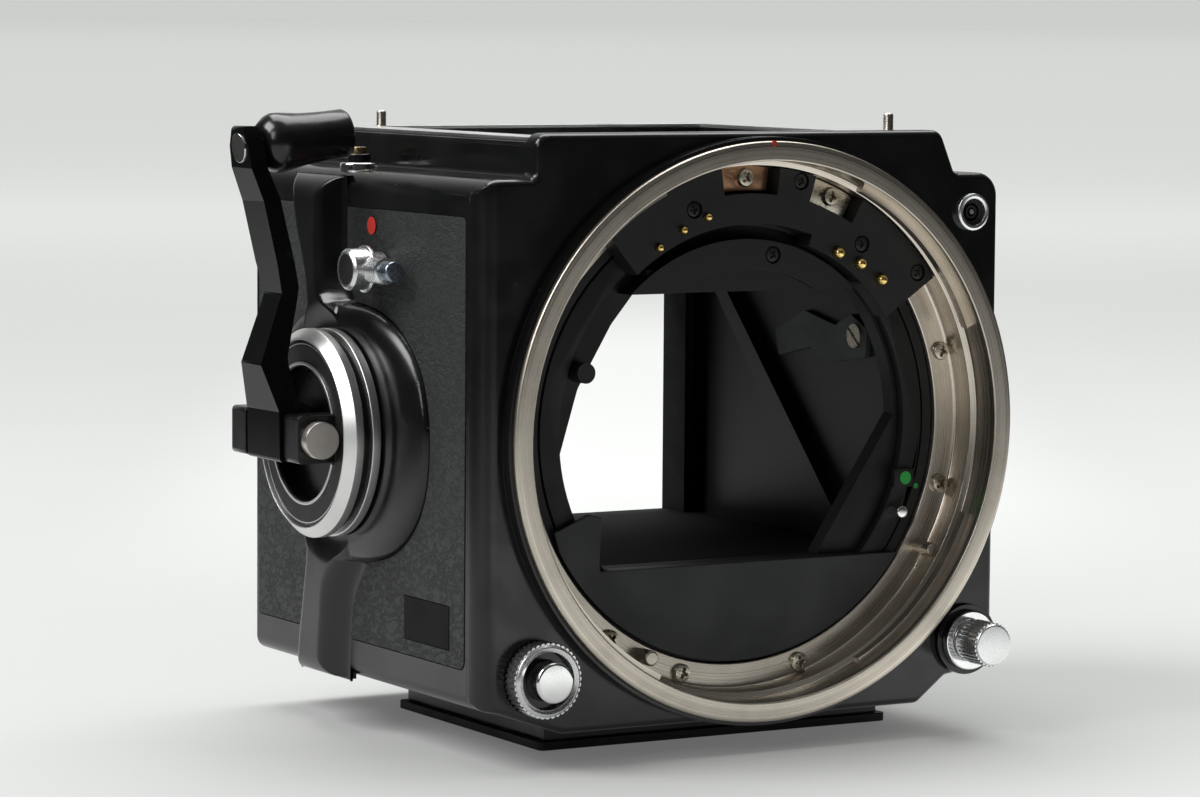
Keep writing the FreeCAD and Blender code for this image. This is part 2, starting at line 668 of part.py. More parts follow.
def build_contacts(flange_screws):
    """Contact blocks, gilt pins, brackets, and all the screws in the mount."""
    seat_y = FLANGE_FRONT_Y - SEAT
    outer = RING_BORE_R - 0.15
    block = sector(BLOCK_INNER_R, outer, BLOCK_FROM, BLOCK_TO, BLOCK_FRONT_Y, seat_y)
    tail = sector(BLOCK_TAIL_R, BLOCK_INNER_R + 0.5, BLOCK_FROM, BLOCK_TAIL_TO, BLOCK_FRONT_Y, seat_y)
    block = fuse(block, tail)
    brackets = []
    screws = []
    for start, end in ((84.0, 97.0), (61.0, 72.5)):
        block = block.cut(sector(FLANGE_BORE_R - 0.3, outer + 1, start - 1, end + 1,
                                 BLOCK_FRONT_Y - 1, seat_y + 1))
        bracket = sector(FLANGE_BORE_R, outer, start, end, seat_y - BRACKET_T, seat_y)
        x, z = on_circle(MOUNT_SCREW_PCR - 0.1, (start + end) / 2)
        bracket = bracket.cut(rod_y(0.6 + SEAT, seat_y - 3, seat_y + 1, x, z))
        brackets.append(bracket)
        screws.append(screw_y(x, z, MOUNT_SCREW_R + 0.05, seat_y - BRACKET_T - SEAT, 0.8, 0.6, 1.0))
    spots = ((6.1, 77.0), (3.2, 107.0), (5.7, 37.5), (2.4, 54.5))
    dark = []
    for outwards, angle in spots:
        x, z = on_circle(BLOCK_INNER_R + outwards, angle)
        block = block.cut(rod_y(SMALL_SCREW_R + 0.15, BLOCK_FRONT_Y - 1, BLOCK_FRONT_Y + 0.6, x, z))
        block = block.cut(rod_y(0.5 + SEAT, BLOCK_FRONT_Y, seat_y + 1, x, z))
        dark.append(screw_y(x, z, SMALL_SCREW_R, BLOCK_FRONT_Y + 0.6 - SEAT, 0.45, 0.5, 1.6))
    lower_back = APERTURE_FRONT_Y - SEAT
    lower = sector(LOWER_INNER_R, LOWER_OUTER_R, 45, 135, LOWER_FRONT_Y, lower_back)
    lower = lower.fuse(box(-14.0, 14.0, LOWER_FRONT_Y + 0.8, lower_back, LENS_Z + APERTURE_TOP,
                          LENS_Z + LOWER_INNER_R))
    lower = fuse(lower.cut(box(-40, 40, -60, 0, 0, LENS_Z + APERTURE_TOP)))
    x, z = on_circle(LOWER_INNER_R + 2.0, 79)
    lower = lower.cut(rod_y(SMALL_SCREW_R + 0.15, LOWER_FRONT_Y - 1, LOWER_FRONT_Y + 0.6, x, z))
    lower = lower.cut(rod_y(0.5 + SEAT, LOWER_FRONT_Y, lower_back + 1, x, z))
    dark.append(screw_y(x, z, SMALL_SCREW_R, LOWER_FRONT_Y + 0.6 - SEAT, 0.45, 0.5, 1.2))
    pins = []
    for outwards, angle, radius in CONTACT_PLACES:
        x, z = on_circle(BLOCK_INNER_R + outwards, angle)
        back = seat_y - 0.2
        pins.append(fuse(rod_y(radius, BLOCK_FRONT_Y - CONTACT_H + 0.3, BLOCK_FRONT_Y + 1.5, x, z),
                         Part.makeSphere(radius, Vec(x, BLOCK_FRONT_Y - CONTACT_H + 0.3, z))))
        block = block.cut(rod_y(radius + RUN, BLOCK_FRONT_Y - 1, back, x, z))
    keep("upper_contact_block", block)
    keep("lower_contact_plate", lower)
    keep("contact_pins", group(pins))
    keep("contact_brackets", group(brackets))
    keep("mount_screws", group(flange_screws + screws + dark))


def build_covers():
    """Side and bottom covers with their leather; returns the tripod plate screws."""
    outer = prism_y(body_corners(0), COVER_FRONT_Y, COVER_REAR_Y)
    inner = prism_y(body_corners(WALL), COVER_FRONT_Y - 1, COVER_REAR_Y + 1)
    shell = outer.cut(inner)
    far = 200
    left = fuse(shell.common(box(-far, STEP_CRANK_X - SEAT, -far, far, 0, SHOULDER_Z + 1)),
                shell.common(box(-far, UNDER_CRANK_X - 1.5, -far, far, 0, 20)))
    right = fuse(shell.common(box(STEP_FAR_LOW_X + SEAT, far, -far, far, 0, SHOULDER_Z + 1)),
                 shell.common(box(UNDER_FAR_X + 1.5, far, -far, far, 0, 20)))
    bottom = shell.common(box(UNDER_CRANK_X - 1.5 + SEAT, UNDER_FAR_X + 1.5 - SEAT, -far, far, 0, 12))

    spine = layered([(CRANK_SIDE_X + 0.4, 0), (CRANK_SIDE_X, 0), (CRANK_SIDE_X - 0.9, 0.3),
                     (CRANK_SIDE_X - 1.7, 0.9), (CRANK_SIDE_X - 2.3, 1.9), (SPINE_X, 3.2)], spine_wire)
    side = prism_y([(SPINE_X, SPINE_FOOT_Z, 2.0), (SPINE_X, SPINE_TOP_Z, 3.4),
                    (CRANK_SIDE_X + 3, SPINE_TOP_Z, 0), (CRANK_SIDE_X + 3, SPINE_FOOT_Z + 1.2, 0)], -20, 40)
    spine = spine.common(side)
    dome = layered([(CRANK_SIDE_X + 0.4, 0), (CRANK_SIDE_X, 0), (CRANK_SIDE_X - 0.7, 0.4),
                    (CRANK_SIDE_X - 1.35, 1.5), (CRANK_SIDE_X - 1.8, 3.2), (DOME_X, 5.6)], dome_wire)
    bush = rod_x(BUSH_R, CRANK_SIDE_X, CRANK_SIDE_X + WALL + 0.8, DIAL_Y, DIAL_Z)
    stem_guide = rod_z(FINDER_BUTTON_R + 1.2, SHOULDER_Z - WALL - 1.5, SHOULDER_Z - 0.5, FINDER_BUTTON_X,
                       FINDER_BUTTON_Y)
    left = fuse(left, spine, dome, bush, stem_guide)
    left = cut(
        left,
        rod_x(SHAFT_R + RUN, DOME_X - 1, CRANK_SIDE_X + WALL + 1, DIAL_Y, DIAL_Z),
        rod_x(1.2 + RUN, DOME_X - 5, CRANK_SIDE_X + WALL + 1, MULTI_Y, MULTI_Z),
        rod_x(DIAL_R + 0.6, DOME_X - 5, DOME_X, DIAL_Y, DIAL_Z),
        rod_z(0.6 + RUN, SHOULDER_Z - WALL - 2, SHOULDER_Z + 1, FINDER_BUTTON_X, FINDER_BUTTON_Y),
        rod_z(FINDER_BUTTON_R + RUN, SHOULDER_Z - FINDER_TRAVEL - 0.1, SHOULDER_Z + 1,
              FINDER_BUTTON_X, FINDER_BUTTON_Y),
        rod_z(FINDER_BASE_R + SEAT, SHOULDER_Z - FINDER_SUNK, SHOULDER_Z + 1,
              FINDER_BUTTON_X, FINDER_BUTTON_Y),
    )
    pocket_x = CRANK_SIDE_X - LEATHER_PROUD + LEATHER_T
    leathers = []
    for grow in (LEATHER_GAP, 0):
        front = prism_x([(DIAL_Y + 4, LEATHER_LOW_Z - grow, 0),
                         (DIAL_Y + 4, LEATHER_TOP_Z + grow, 0),
                         (LEATHER_FRONT_Y - grow, LEATHER_TOP_Z + grow, 1.2),
                         (LEATHER_FRONT_Y - grow, LEATHER_LOW_Z - grow, 1.2)],
                        CRANK_SIDE_X - LEATHER_PROUD, pocket_x + (SEAT if grow else 0))
        rear = prism_x([(DIAL_Y + 8, LEATHER_LOW_Z - grow, 0),
                        (DIAL_Y + 8, LEATHER_TOP_Z + grow, 0),
                        (LEATHER_REAR_Y + grow, LEATHER_TOP_Z + grow, 0.5),
                        (LEATHER_REAR_Y + grow, LEATHER_LOW_Z - grow, 0.5)],
                       CRANK_SIDE_X - LEATHER_PROUD, pocket_x + (SEAT if grow else 0))
        edge = grow - LEATHER_GAP * 3
        raised = [layered([(CRANK_SIDE_X - 9, edge), (CRANK_SIDE_X + 9, edge)], outline)
                  for outline in (dome_wire, spine_wire)]
        leathers.append((cut(front, *raised), cut(rear, *raised)))
    left = left.cut(leathers[0][0]).cut(leathers[0][1])
    front, rear = leathers[1]
    front = front.cut(rod_x(1.9, CRANK_SIDE_X - 2, CRANK_SIDE_X + 2, MULTI_Y, MULTI_Z))
    dot_y, dot_z = MULTI_Y + 3.1, MULTI_Z + 5.3
    front = front.cut(rod_x(RED_DOT_R, CRANK_SIDE_X - 2, CRANK_SIDE_X + 2, dot_y, dot_z))
    dot = rod_x(RED_DOT_R - SEAT, CRANK_SIDE_X - LEATHER_PROUD - 0.1, CRANK_SIDE_X + 1, dot_y, dot_z)
    left = fuse(left, dot)
    badge = box(CRANK_SIDE_X - LEATHER_PROUD - 0.05, CRANK_SIDE_X - LEATHER_PROUD + BADGE_T - SEAT,
                BADGE_Y[0], BADGE_Y[1], BADGE_Z[0], BADGE_Z[1])
    front = front.cut(box(CRANK_SIDE_X - 2, CRANK_SIDE_X - LEATHER_PROUD + BADGE_T, BADGE_Y[0] - 0.1,
                          BADGE_Y[1] + 0.1, BADGE_Z[0] - 0.1, BADGE_Z[1] + 0.1))
    keep("leather_front_panel", front)
    keep("leather_rear_panel", rear)
    keep("blank_badge_plate", badge)
    keep("winder_side_cover", left)

    far_pocket = FAR_SIDE_X + LEATHER_PROUD - LEATHER_T
    far_leathers = []
    low = LEATHER_LOW_Z + 4.8
    high = LEATHER_TOP_Z - 2.0
    for grow in (LEATHER_GAP, 0):
        sheet = prism_x([(LEATHER_FRONT_Y - grow + 1, low - grow, 1.2),
                         (LEATHER_FRONT_Y - grow + 1, high + grow, 1.2),
                         (LEATHER_REAR_Y + grow, high + grow, 0.5),
                         (LEATHER_REAR_Y + grow, low - grow, 0.5)],
                        far_pocket - (SEAT if grow else 0), FAR_SIDE_X + LEATHER_PROUD + grow)
        far_leathers.append(sheet)
    right = right.cut(far_leathers[0])
    holes = (rod_x(3.0 + RUN, INNER_FAR_X - 1, FAR_SIDE_X + 2, SPEED_Y, SPEED_Z),
             rod_x(CHECK_R + RUN, INNER_FAR_X - 1, FAR_SIDE_X + 2, CHECK_Y, CHECK_Z),
             box(INNER_FAR_X - 1, FAR_SIDE_X + 2, LENS_LEVER_Y - 1.6 - GAP,
                 LENS_LEVER_Y + 1.6 + LENS_LEVER_TRAVEL + GAP,
                 LENS_LEVER_Z - 1.2 - GAP, LENS_LEVER_Z + 1.2 + GAP))
    keep("far_side_cover", cut(right, *holes))
    keep("leather_far_panel", cut(far_leathers[1], *holes))

    end_x = BATTERY_HALF_L + SEAT
    pedestal = box(-PLATE_HALF_L + PEDESTAL_INSET, PLATE_HALF_L - PEDESTAL_INSET,
                   -PLATE_HALF_W + PEDESTAL_INSET, PLATE_HALF_W - PEDESTAL_INSET, PEDESTAL_Z, UNDER_Z + WALL)
    bottom = fuse(bottom, pedestal)
    bottom = cut(
        bottom,
        rod_z(TRIPOD_BODY_R + SEAT, -1, 20, 0, 0),
        box(-end_x, end_x, BATTERY_Y - BATTERY_R, BATTERY_Y + BATTERY_R, 0, UNDER_Z + WALL + 1),
    )
    plate = prism_z([(-PLATE_HALF_L, -PLATE_HALF_W, 0.8), (PLATE_HALF_L, -PLATE_HALF_W, 0.8),
                     (PLATE_HALF_L, PLATE_HALF_W, 0.8), (-PLATE_HALF_L, PLATE_HALF_W, 0.8)], 0, PLATE_T)
    plate = plate.cut(rod_z(TRIPOD_BODY_R + SEAT, -1, PLATE_T + 1, 0, 0))
    chamber = box(-end_x - CHAMBER_T, end_x + CHAMBER_T, BATTERY_Y - BATTERY_R - 0.1, REAR_FRAME_Y - GAP,
                  UNDER_Z + WALL - 0.2, BATTERY_Z + BATTERY_R + SEAT + CHAMBER_T)
    chamber = cut(chamber, rod_x(BATTERY_R + SEAT, -end_x, end_x, BATTERY_Y, BATTERY_Z),
                  box(-end_x, end_x, BATTERY_Y - BATTERY_R - SEAT, REAR_Y, 0, BATTERY_Z))
    bottom = fuse(bottom, chamber)
    bottom = cut(
        bottom,
        box(-LID_HALF_X - GAP, LID_HALF_X + GAP, LID_FRONT_Y - GAP, LID_REAR_Y + GAP,
            0, UNDER_Z + LID_T + 0.1),
        rod_x(LID_HINGE_R + RUN, -LID_HALF_X - 1.4, LID_HALF_X + 1.4, LID_HINGE_Y, LID_HINGE_Z),
    )
    screws = []
    for x in (-PLATE_HALF_L + 5, PLATE_HALF_L - 5):
        for y in (-PLATE_HALF_W + 4.5, PLATE_HALF_W - 4.5):
            screw = fuse(rod_z(BASE_SCREW_R, 0.15, PLATE_T - 0.2, x, y), rod_z(0.9, 0.5, UNDER_Z + 1, x, y))
            screw = screw.cut(box(x - 1.1, x + 1.1, y - 0.22, y + 0.22, 0, 0.55))
            screws.append(screw.cut(box(x - 0.22, x + 0.22, y - 1.1, y + 1.1, 0, 0.55)))
            plate = plate.cut(rod_z(BASE_SCREW_R + 0.1, -1, PLATE_T - 0.2 + SEAT, x, y))
            plate = plate.cut(rod_z(0.9 + SEAT, -1, PLATE_T + 1, x, y))
            bottom = bottom.cut(rod_z(0.9 + SEAT, -1, UNDER_Z + 1 + SEAT, x, y))
    socket = rod_z(TRIPOD_BODY_R, 0, UNDER_Z + WALL + 2.5, 0, 0)
    socket = fuse(socket, rod_z(TRIPOD_BODY_R + 2, UNDER_Z + WALL + SEAT, UNDER_Z + WALL + 2.5, 0, 0))
    socket = socket.cut(rod_z(TRIPOD_R, -1, TRIPOD_DEPTH, 0, 0))
    keep("bottom_cover", bottom)
    keep("tripod_plate", plate)
    keep("tripod_socket_insert", socket)
    return screws


def build_box(plate_screws):
    """Mirror box with its feet and rest rails, and the rear frame with the film gate."""
    out_x = BOX_OUTER_X
    rear = REAR_FRAME_Y - SEAT
    floor_low = BOX_FLOOR_Z - BOX_T
    shape = box(-out_x, out_x, BOX_FRONT_Y, rear, floor_low, BOX_TOP_Z)
    shape = shape.cut(box(-BOX_HALF_X, BOX_HALF_X, BOX_FRONT_Y - 1, rear + 1, BOX_FLOOR_Z, BOX_TOP_Z + 1))
    foot_low = UNDER_Z + WALL + SEAT
    feet = []
    for x in (-out_x + 4, out_x - 8):
        feet.append(box(x, x + 2, BOX_FRONT_Y, 18.5, foot_low, floor_low))
    rails = []
    for side in (-1, 1):
        rise = MIRROR_HINGE_Z - MIRROR_HINGE_Y - 1.5
        low = (MIRROR_HINGE_Y - 37.6, MIRROR_HINGE_Y - 37.6 + rise)
        high = (MIRROR_HINGE_Y - 4.6, MIRROR_HINGE_Y - 4.6 + rise)
        points = [(low[0], low[1], 0), (high[0], high[1], 0), (high[0] + 1.6, high[1] - 1.6, 0),
                  (low[0] + 2.6, low[1] - 2.6, 0)]
        x0, x1 = sorted((side * (FLAP_HALF_X + 0.5), side * (BOX_HALF_X + 0.2)))
        rails.append(prism_x(points, x0, x1))
    boss = rod_x(SHAFT_R + 2, -out_x - 2.2, -out_x + 0.2, DIAL_Y, DIAL_Z)
    shape = fuse(shape, boss, *feet)
    shape = shape.cut(rod_x(SHAFT_R + RUN, -out_x - 3, -out_x - 0.05, DIAL_Y, DIAL_Z))
    shape = fuse(shape, *rails)
    for y, z in ((MIRROR_HINGE_Y, MIRROR_HINGE_Z), (FLAP_HINGE_Y, FLAP_HINGE_Z)):
        shape = shape.cut(rod_x(HINGE_R + SEAT, -out_x - 1, out_x + 1, y, z))
    for y, z in (gear_centre(1), gear_centre(2)):
        shape = shape.cut(rod_x(STUD_R + SEAT, -out_x - 1, -out_x + 0.9, y, z))
    shape = shape.cut(lock_pin_bore(GAP))
    keep("mirror_box", shape)

    frame = prism_y(body_corners(WALL + SEAT), REAR_FRAME_Y, REAR_Y - 0.02)
    frame = frame.common(box(-100, 100, -100, 100, 0, SHOULDER_Z - WALL - SEAT))
    collar = box(-GATE_HALF_X - BOX_T, GATE_HALF_X + BOX_T, REAR_FRAME_Y - GATE_COLLAR_L, REAR_FRAME_Y + 1,
                 BOX_FLOOR_Z + SEAT, GATE_TOP_Z + BOX_T)
    frame = fuse(frame, collar)
    frame = frame.cut(box(-GATE_HALF_X, GATE_HALF_X, REAR_FRAME_Y - 9, REAR_Y + 1, BOX_FLOOR_Z, GATE_TOP_Z))
    slot_y, slot_z = gear_centre(2)
    frame = frame.cut(box(GEAR_X - GAP, GEAR_X + GEAR_T + GAP, REAR_FRAME_Y - 1, REAR_Y + 1,
                          slot_z - OUTPUT_R - 1.2, slot_z + OUTPUT_R + 1.2))
    frame = frame.cut(box(CRANK_SIDE_X + WALL, -BOX_OUTER_X, REAR_FRAME_Y - 1, slot_y + STUD_R + 1.0 + GAP,
                          slot_z - STUD_R - 1.0 - GAP, slot_z + STUD_R + 1.0 + GAP))
    frame = frame.cut(box(-BATTERY_HALF_L - GAP, BATTERY_HALF_L + GAP,
                          REAR_FRAME_Y - 1, BATTERY_Y + BATTERY_R + GAP, 0, BATTERY_Z + BATTERY_R + GAP))
    groove = box(-GATE_HALF_X - 5, GATE_HALF_X + 5, REAR_Y - 0.8, REAR_Y + 1,
                 BOX_FLOOR_Z - 5, GATE_TOP_Z + 5)
    groove = groove.cut(box(-GATE_HALF_X - 3, GATE_HALF_X + 3, REAR_Y - 2, REAR_Y + 2,
                            BOX_FLOOR_Z - 3, GATE_TOP_Z + 3))
    frame = frame.cut(groove)
    screws = []
    for x in (-18.0, 18.0):
        base = box(x - 3, x + 3, REAR_Y - 0.5, REAR_Y + 1.0, 9.0, 14.0)
        tip = box(x - 3, x + 3, REAR_Y + 0.9, REAR_Y + 1.9, 12.2, 14.0)
        frame = fuse(frame, base, tip)
    for x in (CRANK_SIDE_X + 10.5, FAR_SIDE_X - 6.6):
        for z in (SIDE_FOOT_Z + 6.0, SHOULDER_Z - 6.25):
            seat = REAR_Y - 1.0
            screw = fuse(rod_y(1.6, seat, REAR_Y - 0.1, x, z),
                         rod_y(0.8, REAR_FRAME_Y + 0.2, seat + 0.1, x, z))
            screws.append(screw.cut(box(x - 1.2, x + 1.2, REAR_Y - 0.5, REAR_Y + 1, z - 0.2, z + 0.2)))
            frame = frame.cut(rod_y(1.6 + SEAT, seat - SEAT, REAR_Y + 1, x, z))
            frame = frame.cut(rod_y(0.8 + SEAT, REAR_FRAME_Y, REAR_Y, x, z))
    keep("rear_frame", frame)
    keep("rear_light_seal", groove.common(box(-100, 100, REAR_Y - 0.78, REAR_Y + 0.1, 0, 100)))
    keep("cover_screws", group(plate_screws + screws))


def build_mirror():
    """Mirror on its holder, raised as in the photograph, and the rear baffle flap."""
    pin_half = BOX_OUTER_X - 0.2
    keep("mirror_hinge_pins", group([rod_x(HINGE_R, -pin_half, pin_half, MIRROR_HINGE_Y, MIRROR_HINGE_Z),
                                     rod_x(HINGE_R, -pin_half, pin_half, FLAP_HINGE_Y, FLAP_HINGE_Z)]))
    low = MIRROR_HINGE_Z - HOLDER_T / 2
    front = MIRROR_HINGE_Y - MIRROR_L
    holder = box(-MIRROR_HALF_X, MIRROR_HALF_X, front, MIRROR_HINGE_Y - 0.5, low, low + HOLDER_T)
    knuckle = rod_x(KNUCKLE_R, -MIRROR_HALF_X, MIRROR_HALF_X, MIRROR_HINGE_Y, MIRROR_HINGE_Z)
    holder = fuse(holder, knuckle)
    holder = holder.cut(rod_x(HINGE_R + RUN, -40, 40, MIRROR_HINGE_Y, MIRROR_HINGE_Z))
    glass = box(-MIRROR_HALF_X + 0.6, MIRROR_HALF_X - 0.6, front + 0.6, MIRROR_HINGE_Y - KNUCKLE_R - 0.6,
                low + HOLDER_T + SEAT, low + HOLDER_T + MIRROR_T)
    keep("mirror_holder", holder)
    keep("mirror_glass", glass)
    flap = box(-FLAP_HALF_X, FLAP_HALF_X, FLAP_HINGE_Y - FLAP_L, FLAP_HINGE_Y,
               FLAP_HINGE_Z - FLAP_T / 2, FLAP_HINGE_Z + FLAP_T / 2)
    tube = rod_x(HINGE_R + 0.6, -FLAP_HALF_X, FLAP_HALF_X, FLAP_HINGE_Y, FLAP_HINGE_Z)
    flap = fuse(flap, tube).cut(rod_x(HINGE_R + RUN, -40, 40, FLAP_HINGE_Y, FLAP_HINGE_Z))
    keep("rear_baffle_flap", flap)
    wall_x = BOX_HALF_X - SEAT
    outline = [(7.3, 9.8), (0.1, 12.8), (-7.5, 11.3), (-11.3, 13.0), (-15.2, 11.2), (-14.9, 7.5),
               (-6.7, 6.3), (-1.5, 8.0), (6.5, 6.3)]
    lever = prism_x([(y, LENS_Z + h, 0) for y, h in outline], wall_x - 0.7, wall_x)
    screw_at = (-12.5, LENS_Z + 10.2)
    lever = lever.cut(rod_x(0.7 + SEAT, wall_x - 2, wall_x + 1, *screw_at))
    head_x = wall_x - 0.7 - SEAT
    screw = rod_x(1.6, head_x - 0.35, head_x, *screw_at).fuse(rod_x(0.7, head_x, wall_x - 0.02, *screw_at))
    slot = box(head_x - 1, head_x - 0.15, screw_at[0] - 2, screw_at[0] + 2,
               screw_at[1] - 0.2, screw_at[1] + 0.2)
    slot.rotate(Vec(0, *screw_at), Vec(1, 0, 0), 40)
    keep("mirror_lift_lever", group([lever, fuse(screw).cut(slot)]))


def build_deck():
    """Top deck with the finder seat, screen frame, screen and location pins."""
    low = SHOULDER_Z - 1.6
    outer = prism_y(body_corners(0), COVER_FRONT_Y, REAR_Y)
    band = box(STEP_CRANK_X, STEP_FAR_LOW_X, COVER_FRONT_Y, REAR_Y, SHOULDER_Z - 0.0, SEAT_Z - RIM_T)
    deck = outer.common(band)
    core = box(STEP_CRANK_X + WALL + 0.3, STEP_FAR_LOW_X - WALL - 0.3, COVER_FRONT_Y + 6,
               REAR_FRAME_Y - SEAT, BOX_TOP_Z + SEAT, SHOULDER_Z + 0.5)
    deck = fuse(deck, core)
    well = box(-WELL_HALF_X, WELL_HALF_X, WELL_FRONT_Y, WELL_REAR_Y, low - 9, TOP_Z + 1)
    seat = box(-WELL_HALF_X - SCREEN_LEDGE, WELL_HALF_X + SCREEN_LEDGE, WELL_FRONT_Y - SCREEN_LEDGE,
               WELL_REAR_Y + SCREEN_LEDGE, SCREEN_Z - 1.2, TOP_Z + 1)
    swing = box(-MIRROR_HALF_X - 0.6, MIRROR_HALF_X + 0.6, MIRROR_HINGE_Y - MIRROR_L - 1,
                MIRROR_HINGE_Y + KNUCKLE_R + 0.4, BOX_TOP_Z - 1, SCREEN_Z - 1.1)
    mount_well = rod_y(RING_BODY_R + WELL_T + SEAT, COVER_FRONT_Y - 1, PLATE_FRONT_Y + SEAT, 0, LENS_Z)
    plate_well = rod_y(FLANGE_BORE_R, PLATE_FRONT_Y - 1, PLATE_BACK_Y + SEAT, 0, LENS_Z)
    deck = cut(deck, well, seat, swing, mount_well, plate_well)
    frame = box(-WELL_HALF_X - SCREEN_LEDGE + 0.1, WELL_HALF_X + SCREEN_LEDGE - 0.1,
                WELL_FRONT_Y - SCREEN_LEDGE + 0.1, WELL_REAR_Y + SCREEN_LEDGE - 0.1,
                SCREEN_Z - 1.2 + SEAT, SCREEN_Z + SCREEN_T + 1.2 - SEAT)
    frame = frame.cut(box(-WELL_HALF_X + 1.2, WELL_HALF_X - 1.2,
                          WELL_FRONT_Y + 1.2, WELL_REAR_Y - 1.2, 0, 100))
    frame = frame.cut(box(-WELL_HALF_X, WELL_HALF_X, WELL_FRONT_Y, WELL_REAR_Y, SCREEN_Z - SEAT, 100))
    screen = box(-WELL_HALF_X + 0.1, WELL_HALF_X - 0.1, WELL_FRONT_Y + 0.1, WELL_REAR_Y - 0.1,
                 SCREEN_Z, SCREEN_Z + SCREEN_T)
    rim = box(STEP_CRANK_X + 2.2, STEP_FAR_TOP_X - 1.2, COVER_FRONT_Y + 1.5, REAR_Y - 1.5,
              SEAT_Z - RIM_T + SEAT, SEAT_Z)
    edge = SCREEN_LEDGE + 0.3
    rim = rim.cut(box(-WELL_HALF_X - edge, WELL_HALF_X + edge,
                      WELL_FRONT_Y - edge, WELL_REAR_Y + edge, 0, 100))
    pins = []
    spots = ((STEP_FAR_TOP_X - 4.5, COVER_FRONT_Y + 2.8, TOP_Z + FINDER_PIN_H),
             (STEP_CRANK_X + 8.2, REAR_Y - 5.1, SEAT_Z + FINDER_PIN_H))
    for x, y, top in spots:
        pin = rod_z(FINDER_PIN_R, SEAT_Z, top, x, y)
        edges = [e for e in pin.Edges if abs(e.CenterOfMass.z - top) < 1e-6]
        pin = pin.makeChamfer(0.2, edges[:1])
        pins.append(fuse(pin, rod_z(FINDER_SHANK_R, SEAT_Z - 3, SEAT_Z, x, y)))
        hole = rod_z(FINDER_SHANK_R + SEAT, SEAT_Z - 3 - SEAT, 100, x, y)
        deck = deck.cut(hole)
        rim = rim.cut(hole)
    keep("top_deck", deck)
    keep("screen_frame", frame)
    keep("focusing_screen", screen)
    keep("finder_seat_rim", rim)
    keep("finder_location_pins", group(pins))


def gear_centre(index):
    """Axis (y, z) of gear 0 (drive), 1 (idler) or 2 (output)."""
    y, z = DIAL_Y, DIAL_Z
    steps = ((DRIVE_R + IDLER_R, IDLER_ANGLE), (IDLER_R + OUTPUT_R, OUTPUT_ANGLE))
    for distance, angle in steps[:index]:
        y += distance * math.cos(math.radians(angle))
        z += distance * math.sin(math.radians(angle))
    return y, z


def gear(teeth, phase, centre, bore):
    """Spur gear on an X axis, with involute flanks and a backlash allowance."""
    pitch_r = MODULE * teeth / 2
    base_r = pitch_r * math.cos(math.radians(20))
    tip_r = pitch_r + MODULE * 0.9
    root_r = pitch_r - MODULE * 1.2
    low_r = max(base_r, root_r + 0.02)

    def involute(radius):
        angle = math.acos(min(base_r / radius, 1.0))
        return math.tan(angle) - angle

    half = (math.pi * MODULE / 2 - BACKLASH) / 2 / pitch_r
    points = []
    for i in range(teeth):
        middle = phase + 2 * math.pi * i / teeth
        flank = []
        for k in range(4):
            radius = low_r + (tip_r - low_r) * k / 3
            flank.append((radius, half + involute(pitch_r) - involute(radius)))
        ring = [(root_r, -flank[0][1])] + [(r, -a) for r, a in flank]
        ring += [(r, a) for r, a in reversed(flank)] + [(root_r, flank[0][1])]
        for radius, offset in ring:
            points.append(Vec(GEAR_X, centre[0] + radius * math.cos(middle + offset),
                              centre[1] + radius * math.sin(middle + offset)))
    wheel = Part.Face(Part.makePolygon(points + points[:1])).extrude(Vec(GEAR_T, 0, 0))
    return wheel.cut(rod_x(bore, GEAR_X - 1, GEAR_X + GEAR_T + 1, *centre))


def meshed_phase(phase, teeth, other_teeth, line):
    """Phase of a wheel that meshes with one of the given phase along an angle."""
    pitch = 2 * math.pi / teeth
    other_pitch = 2 * math.pi / other_teeth
    return line + math.pi - other_pitch * ((phase - line) / pitch - 0.5)


